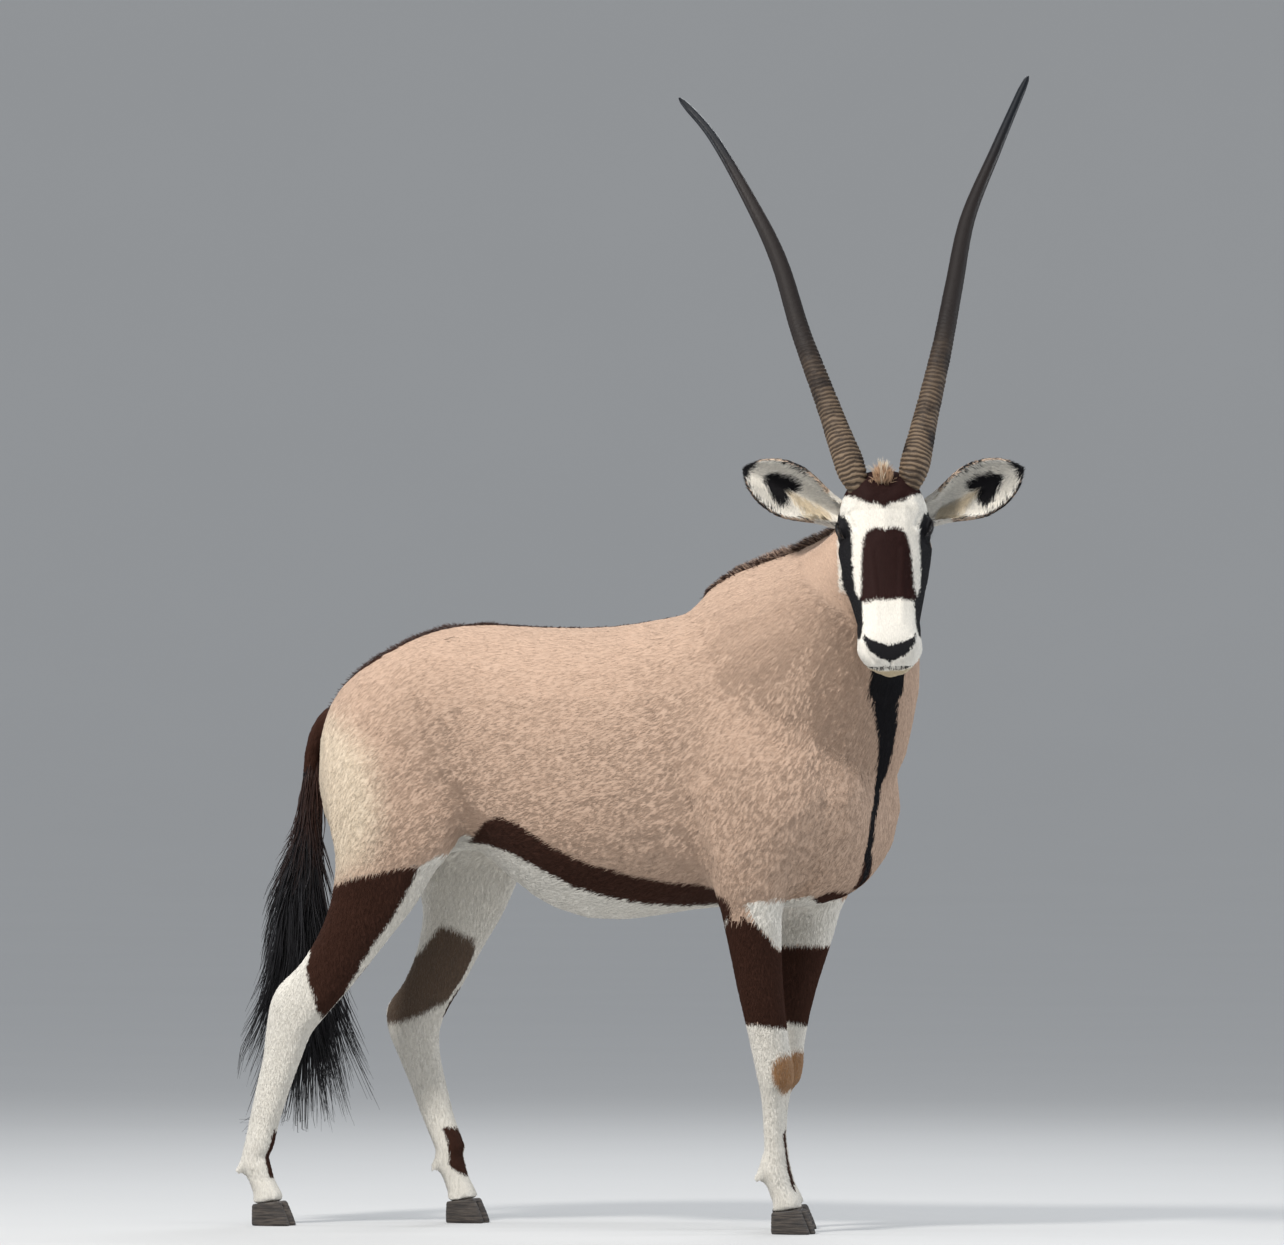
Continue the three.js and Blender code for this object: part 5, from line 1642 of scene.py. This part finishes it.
def make_coat():
    """Short hair over the whole skin, in a piece for each part of the body."""
    hide = Hide()
    _, y, z = hide.centres.T
    region = hide.tri_region
    size = sizes()
    h = to_head(hide.centres + OFFSET)
    face = np.where((region == HEAD) & (h[:, 2] > -0.15) & (h[:, 0] > -0.10), 1.5, 0.8)
    low_leg = np.where(z < 0.45, 1.5, 1.0)
    pieces = (
        ("coat_trunk_right", (region == TORSO) & (y < 0), size.body_tufts, None),
        ("coat_trunk_left", (region == TORSO) & (y >= 0), size.body_tufts, None),
        ("coat_neck", region == NECK, size.neck_tufts, None),
        ("coat_head", region == HEAD, size.head_tufts, face),
        ("coat_ears", region >= EAR_R, size.ear_tufts, None),
        ("coat_forelegs", (region == FORE_R) | (region == FORE_L), size.leg_tufts, low_leg),
        ("coat_hindlegs", (region == HIND_R) | (region == HIND_L) | (region == TAIL), size.leg_tufts, low_leg),
    )
    for number, (name, where, count, density) in enumerate(pieces):
        chance = np.random.default_rng(COAT_SEED + number)
        spots, normals, ways, parts = hide.roots(where, count, chance, density)
        place = spots - OFFSET
        marks = markings(place, parts, hide.legs, normals)
        long, wide, rise, grows = tuft_shapes(spots, parts, normals)
        ear = parts >= EAR_R
        tints = hair_tints(marks, place, ear | (parts == HEAD), chance, np.where(ear, 0.0030, 0.0014))
        long = long * chance.uniform(0.7, 1.25, count)
        wide = wide * chance.uniform(0.75, 1.2, count)
        rise = rise * chance.uniform(0.5, 1.4, count)
        shape = (long[grows], wide[grows], rise[grows])
        mesh = tuft_mesh(name, hide, spots[grows], normals[grows], ways[grows], shape, tints[grows],
                         unwrap(spots, parts, hide.legs)[grows], ~ear[grows], chance)
        put(name, mesh, material_of("coat_hair"), smooth=False)
    return hide


def hair_piece(name, roots, ways, long, thick, tints, chance, bend):
    """Loose hairs from these roots, thinning to their tips, bending over a little."""
    count, steps = len(roots), 5
    t = np.linspace(0, 1, steps)
    lean = unit(ways + chance.normal(0, 0.22, (count, 3)))
    drop = np.zeros((count, steps, 3))
    drop[..., 2] = -bend * long[:, None] * t ** 2
    paths = roots[:, None] + lean[:, None] * (long[:, None] * t)[..., None] + drop
    widths = np.interp(t, [0, 0.2, 0.7, 1], [0.8, 1, 0.8, 0.12])[None] * thick[:, None]
    points, tris = strands(paths, widths, chance.uniform(0, 6, count))
    mesh = new_mesh(name, points, tris)
    colour_attribute(mesh, np.clip(np.repeat(tints, steps * HAIR_SIDES, axis=0), 0, 1))
    low, high = roots.min(axis=0), roots.max(axis=0)
    places = ((roots - low) / np.maximum(high - low, 1e-6))[:, :2]
    root_uv(mesh, np.repeat(places, len(tris) // count, axis=0))
    put(name, mesh, material_of("long_hair"))


# Hairs of the tuft between the horns, the longest of them, and lashes on each upper lid
POLL_HAIRS, POLL_SPIKE, LASHES = 800, 60, 90


def make_mane(hide):
    """Upright hair on the neck's crest, the dark ridge of the back and the tuft between the horns."""
    paint = colours()
    chance = np.random.default_rng(MANE_SEED)
    crest, way = smooth_path(CREST, 400)
    count = sizes().mane_hairs
    share = chance.uniform(0.12, 0.93, count)
    row = (share * 399).astype(int)
    start = crest[row] + np.stack([0.2 * chance.normal(0, 1, count), chance.normal(0, 1, count),
                                   np.full(count, 2.2)], axis=1) * (0.0075, 0.0075, 0.01)
    roots, out = hide.settled(start + OFFSET)
    long = np.interp(share, [0.12, 0.3, 0.5, 0.8, 0.93], [0.010, 0.018, 0.025, 0.024, 0.014])
    long = long * chance.uniform(0.6, 1.15, count)
    ways = out * 0.75 - way[row] * 0.45 + np.array((0, 0, 0.25))
    pick = chance.random(count) < np.interp(share, [0.12, 0.35, 0.6], [0.9, 0.62, 0.5])
    tints = np.where(pick[:, None], np.array(paint.dark) * 1.1, np.array(paint.tan) * 0.75)
    tints = tints * chance.uniform(0.7, 1.25, (count, 1))
    hair_piece("mane", roots - out * 0.001, ways, long, chance.uniform(0.0005, 0.0009, count), tints,
               chance, 0.2)

    count = sizes().back_hairs
    x = np.concatenate([chance.uniform(-0.655, 0.10, count // 3), chance.normal(-0.47, 0.09, count - count // 3)])
    x = np.clip(x, -0.655, 0.10)
    half = line_at(BACK_LINE, x)
    spine = np.array(SPINE)
    high = np.interp(x, spine[:, 0], spine[:, 2])
    start = np.stack([x, half * chance.uniform(-0.95, 0.95, count), high + 0.02], axis=1)
    roots, out = hide.settled(start + OFFSET)
    long = np.interp(x, [-0.65, -0.45, -0.405, -0.37, -0.34, -0.29, -0.1, 0.1],
                     [0.012, 0.013, 0.018, 0.010, 0.013, 0.009, 0.008, 0.008]) * chance.uniform(0.7, 1.2, count)
    flow = np.where(x > -0.39, 1.0, -1.0)[:, None] * np.array((1.0, 0, 0))
    ways = out * 0.55 + flow * 0.8
    tints = np.array(paint.dark)[None] * chance.uniform(0.6, 1.5, (count, 1))
    hair_piece("back_ridge", roots - out * 0.001, ways, long, chance.uniform(0.0005, 0.0009, count), tints,
               chance, 0.1)

    count = POLL_HAIRS
    spot = np.stack([chance.normal(-0.106, 0.008, count), chance.normal(0, 0.0085, count),
                     np.full(count, 0.085)], axis=1)
    roots, out = hide.settled(from_head(spot))
    across = np.abs(spot[:, 1])
    long = 0.028 * np.exp(-(across / 0.018) ** 2) * chance.uniform(0.5, 1.1, count) + 0.006
    spike = (np.arange(count) < POLL_SPIKE) & (across < 0.006)
    long[spike] = 0.046
    ways = way_from_head(np.stack([np.full(count, -0.62), spot[:, 1] * 14, np.full(count, 0.62)], axis=1))
    tints = np.array(paint.poll)[None] * chance.uniform(0.65, 1.2, (count, 1))
    tints[spike] = (0.72, 0.62, 0.48)
    hair_piece("poll_tuft", roots - out * 0.001, ways, long, chance.uniform(0.0005, 0.0010, count), tints,
               chance, 0.1)


def make_lashes():
    """Lashes along the upper lids."""
    chance = np.random.default_rng(LASH_SEED)
    roots, ways = [], []
    for hand in (-1, 1):
        look, front, above = eye_axes(hand)
        middle = eye_middle(hand)
        along = chance.uniform(-0.0150, 0.0120, LASHES)
        up = LIDS[0] * (1 - (along / LID_HALF) ** 2)
        way = unit((along[:, None] * front + up[:, None] * above) / sizes().eye_radius + look * 0.9)
        roots.append(middle + way * 0.0215)
        ways.append(look * 0.8 + above * 0.5 + front * (along[:, None] / 0.03))
    roots, ways = from_head(np.concatenate(roots)), way_from_head(np.concatenate(ways))
    count = len(roots)
    tints = np.tile(np.array(colours().black), (count, 1))
    hair_piece("eyelashes", roots, ways, chance.uniform(0.009, 0.015, count), np.full(count, 0.00035), tints,
               chance, 0.25)


# Stage


# The floor is a round bowl: distance from its middle, and height
BOWL, BOWL_SIDES = ((6, 0), (16, 0), (29, 0), (32, 0.3), (34.5, 1.6), (36, 5), (37, 16)), 48
# Each lamp: degrees round from the camera, height, distance, size, power and colour
LAMPS = {
    "key": (-34, 5.4, 4.4, 1.0, 380, (1, 0.97, 0.93)),
    "fill": (48, 2.6, 5.5, 4.0, 80, (0.92, 0.96, 1.0)),
    "back": (170, 4.2, 4.5, 2.5, 90, (0.95, 0.97, 1.0)),
    "top": (10, 6.5, 0.6, 3.5, 70, (1, 1, 1)),
    "side_right": (-98, 2.5, 4.2, 0.7, 45, (0.93, 0.96, 1.0)),
    "side_left": (98, 2.5, 4.2, 0.7, 45, (0.93, 0.96, 1.0)),
}
# The camera: degrees round from the animal's right side, distance, height, and the height it looks at
CAMERA_TURN, CAMERA_AWAY, CAMERA_HEIGHT, CAMERA_AIM = 22, 27.97, 1.233, 1.189
LENS_MM, SENSOR_MM = 400, 36
LAMP_AIM = 0.9


def stand(name, data, turn, away, height, aim):
    """A lamp or camera that stands this far round the animal and looks at this height of it."""
    thing = carrier(name, data)
    turn = math.radians(turn)
    thing.location = Vector((math.sin(turn) * away, -math.cos(turn) * away, height)) + SHIFT
    way = Vector((0, 0, aim)) + SHIFT - thing.location
    thing.rotation_euler = way.to_track_quat("-Z", "Y").to_euler()
    return thing


def make_stage():
    scene = bpy.context.scene
    bm = bmesh.new()
    centre, rows = bm.verts.new((0, 0, 0)), []
    for away, height in BOWL:
        turns = np.linspace(0, 2 * math.pi, BOWL_SIDES, endpoint=False)
        rows.append([bm.verts.new((away * math.cos(turn), away * math.sin(turn), height)) for turn in turns])
    for k in range(BOWL_SIDES):
        after = (k + 1) % BOWL_SIDES
        bm.faces.new((centre, rows[0][k], rows[0][after]))
        for low, high in zip(rows, rows[1:]):
            bm.faces.new((low[k], high[k], high[after], low[after]))
    mesh = bpy.data.meshes.new("floor")
    bm.to_mesh(mesh)
    bm.free()
    mesh.shade_smooth()
    floor = carrier("floor", mesh)
    bend = floor.modifiers.new("bend", "SUBSURF")
    bend.levels = bend.render_levels = 2
    mesh.materials.append(floor_material())

    for name, (azimuth, height, away, size, power, colour) in LAMPS.items():
        lamp = bpy.data.lights.new(name, "AREA")
        lamp.shape, lamp.size, lamp.energy, lamp.color = "DISK", size, power, colour
        stand(name, lamp, CAMERA_TURN + azimuth, away, height, LAMP_AIM)

    world = bpy.data.worlds.new("studio")
    world.use_nodes = True
    world.node_tree.nodes["Background"].inputs["Color"].default_value = (0.80, 0.86, 0.95, 1)
    world.node_tree.nodes["Background"].inputs["Strength"].default_value = 0.36
    scene.world = world
    scene.view_settings.view_transform = "Standard"

    lens = bpy.data.cameras.new("camera")
    lens.lens, lens.sensor_width, lens.sensor_fit = LENS_MM, SENSOR_MM, "HORIZONTAL"
    lens.clip_end = 100
    scene.camera = stand("camera", lens, CAMERA_TURN, CAMERA_AWAY, CAMERA_HEIGHT, CAMERA_AIM)


# The add-on


class OpStage(bpy.types.Operator):
    """Floor, lights and camera"""
    bl_idname = "gemsbok.stage"
    bl_label = "Stage"

    def execute(self, context):
        make_stage()
        return {"FINISHED"}


class OpMaterials(bpy.types.Operator):
    """Every material of the animal"""
    bl_idname = "gemsbok.materials"
    bl_label = "Materials"

    def execute(self, context):
        for make in (skin_material, coat_material, horn_material, hoof_material, eye_material, lid_material):
            make()
        coat_material("long_hair", 0.40, 0.35)
        return {"FINISHED"}


class OpSkin(bpy.types.Operator):
    """One skin over the trunk, neck, head, ears, legs and dock"""
    bl_idname = "gemsbok.skin"
    bl_label = "Skin"

    def execute(self, context):
        put("skin", make_skin(), material_of("coat_skin"), FLESH + ["ear_left", "ear_right"])
        return {"FINISHED"}


class OpHorns(bpy.types.Operator):
    """Both horns with their rings"""
    bl_idname = "gemsbok.horns"
    bl_label = "Horns"

    def execute(self, context):
        make_horns()
        return {"FINISHED"}


class OpEyes(bpy.types.Operator):
    """Eyes and the rims of their lids"""
    bl_idname = "gemsbok.eyes"
    bl_label = "Eyes"

    def execute(self, context):
        make_eyes()
        return {"FINISHED"}


class OpHooves(bpy.types.Operator):
    """Hooves in pairs of claws"""
    bl_idname = "gemsbok.hooves"
    bl_label = "Hooves"

    def execute(self, context):
        make_hooves()
        return {"FINISHED"}


class OpCoat(bpy.types.Operator):
    """Short hair over the whole skin, the mane, the ridge of the back and the lashes"""
    bl_idname = "gemsbok.coat"
    bl_label = "Coat"

    def execute(self, context):
        make_mane(make_coat())
        make_lashes()
        return {"FINISHED"}


class OpTail(bpy.types.Operator):
    """Long hair of the tail"""
    bl_idname = "gemsbok.tail"
    bl_label = "Tail"

    def execute(self, context):
        make_tail()
        return {"FINISHED"}


STEPS = (OpStage, OpMaterials, OpSkin, OpHorns, OpEyes, OpHooves, OpTail, OpCoat)


class GemsbokPanel(bpy.types.Panel):
    """Sizes, colours and the steps that build the animal"""
    bl_idname = "VIEW3D_PT_gemsbok"
    bl_label = "Gemsbok"
    bl_space_type = "VIEW_3D"
    bl_region_type = "UI"
    bl_category = "Gemsbok"

    def draw(self, context):
        for group in (context.scene.gemsbok_sizes, context.scene.gemsbok_colours):
            for name in group.__annotations__:
                self.layout.prop(group, name)
        for step in STEPS:
            self.layout.operator(step.bl_idname)


CLASSES = (GemsbokSizes, GemsbokColours) + STEPS + (GemsbokPanel,)


def register():
    for kind in CLASSES:
        bpy.utils.register_class(kind)
    bpy.types.Scene.gemsbok_sizes = bpy.props.PointerProperty(type=GemsbokSizes)
    bpy.types.Scene.gemsbok_colours = bpy.props.PointerProperty(type=GemsbokColours)


def unregister():
    del bpy.types.Scene.gemsbok_sizes
    del bpy.types.Scene.gemsbok_colours
    for kind in reversed(CLASSES):
        bpy.utils.unregister_class(kind)


def main():
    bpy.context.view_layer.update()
    register()
    for step in STEPS:
        group, name = step.bl_idname.split(".")
        getattr(getattr(bpy.ops, group), name)()


if __name__ == "__main__":
    main()
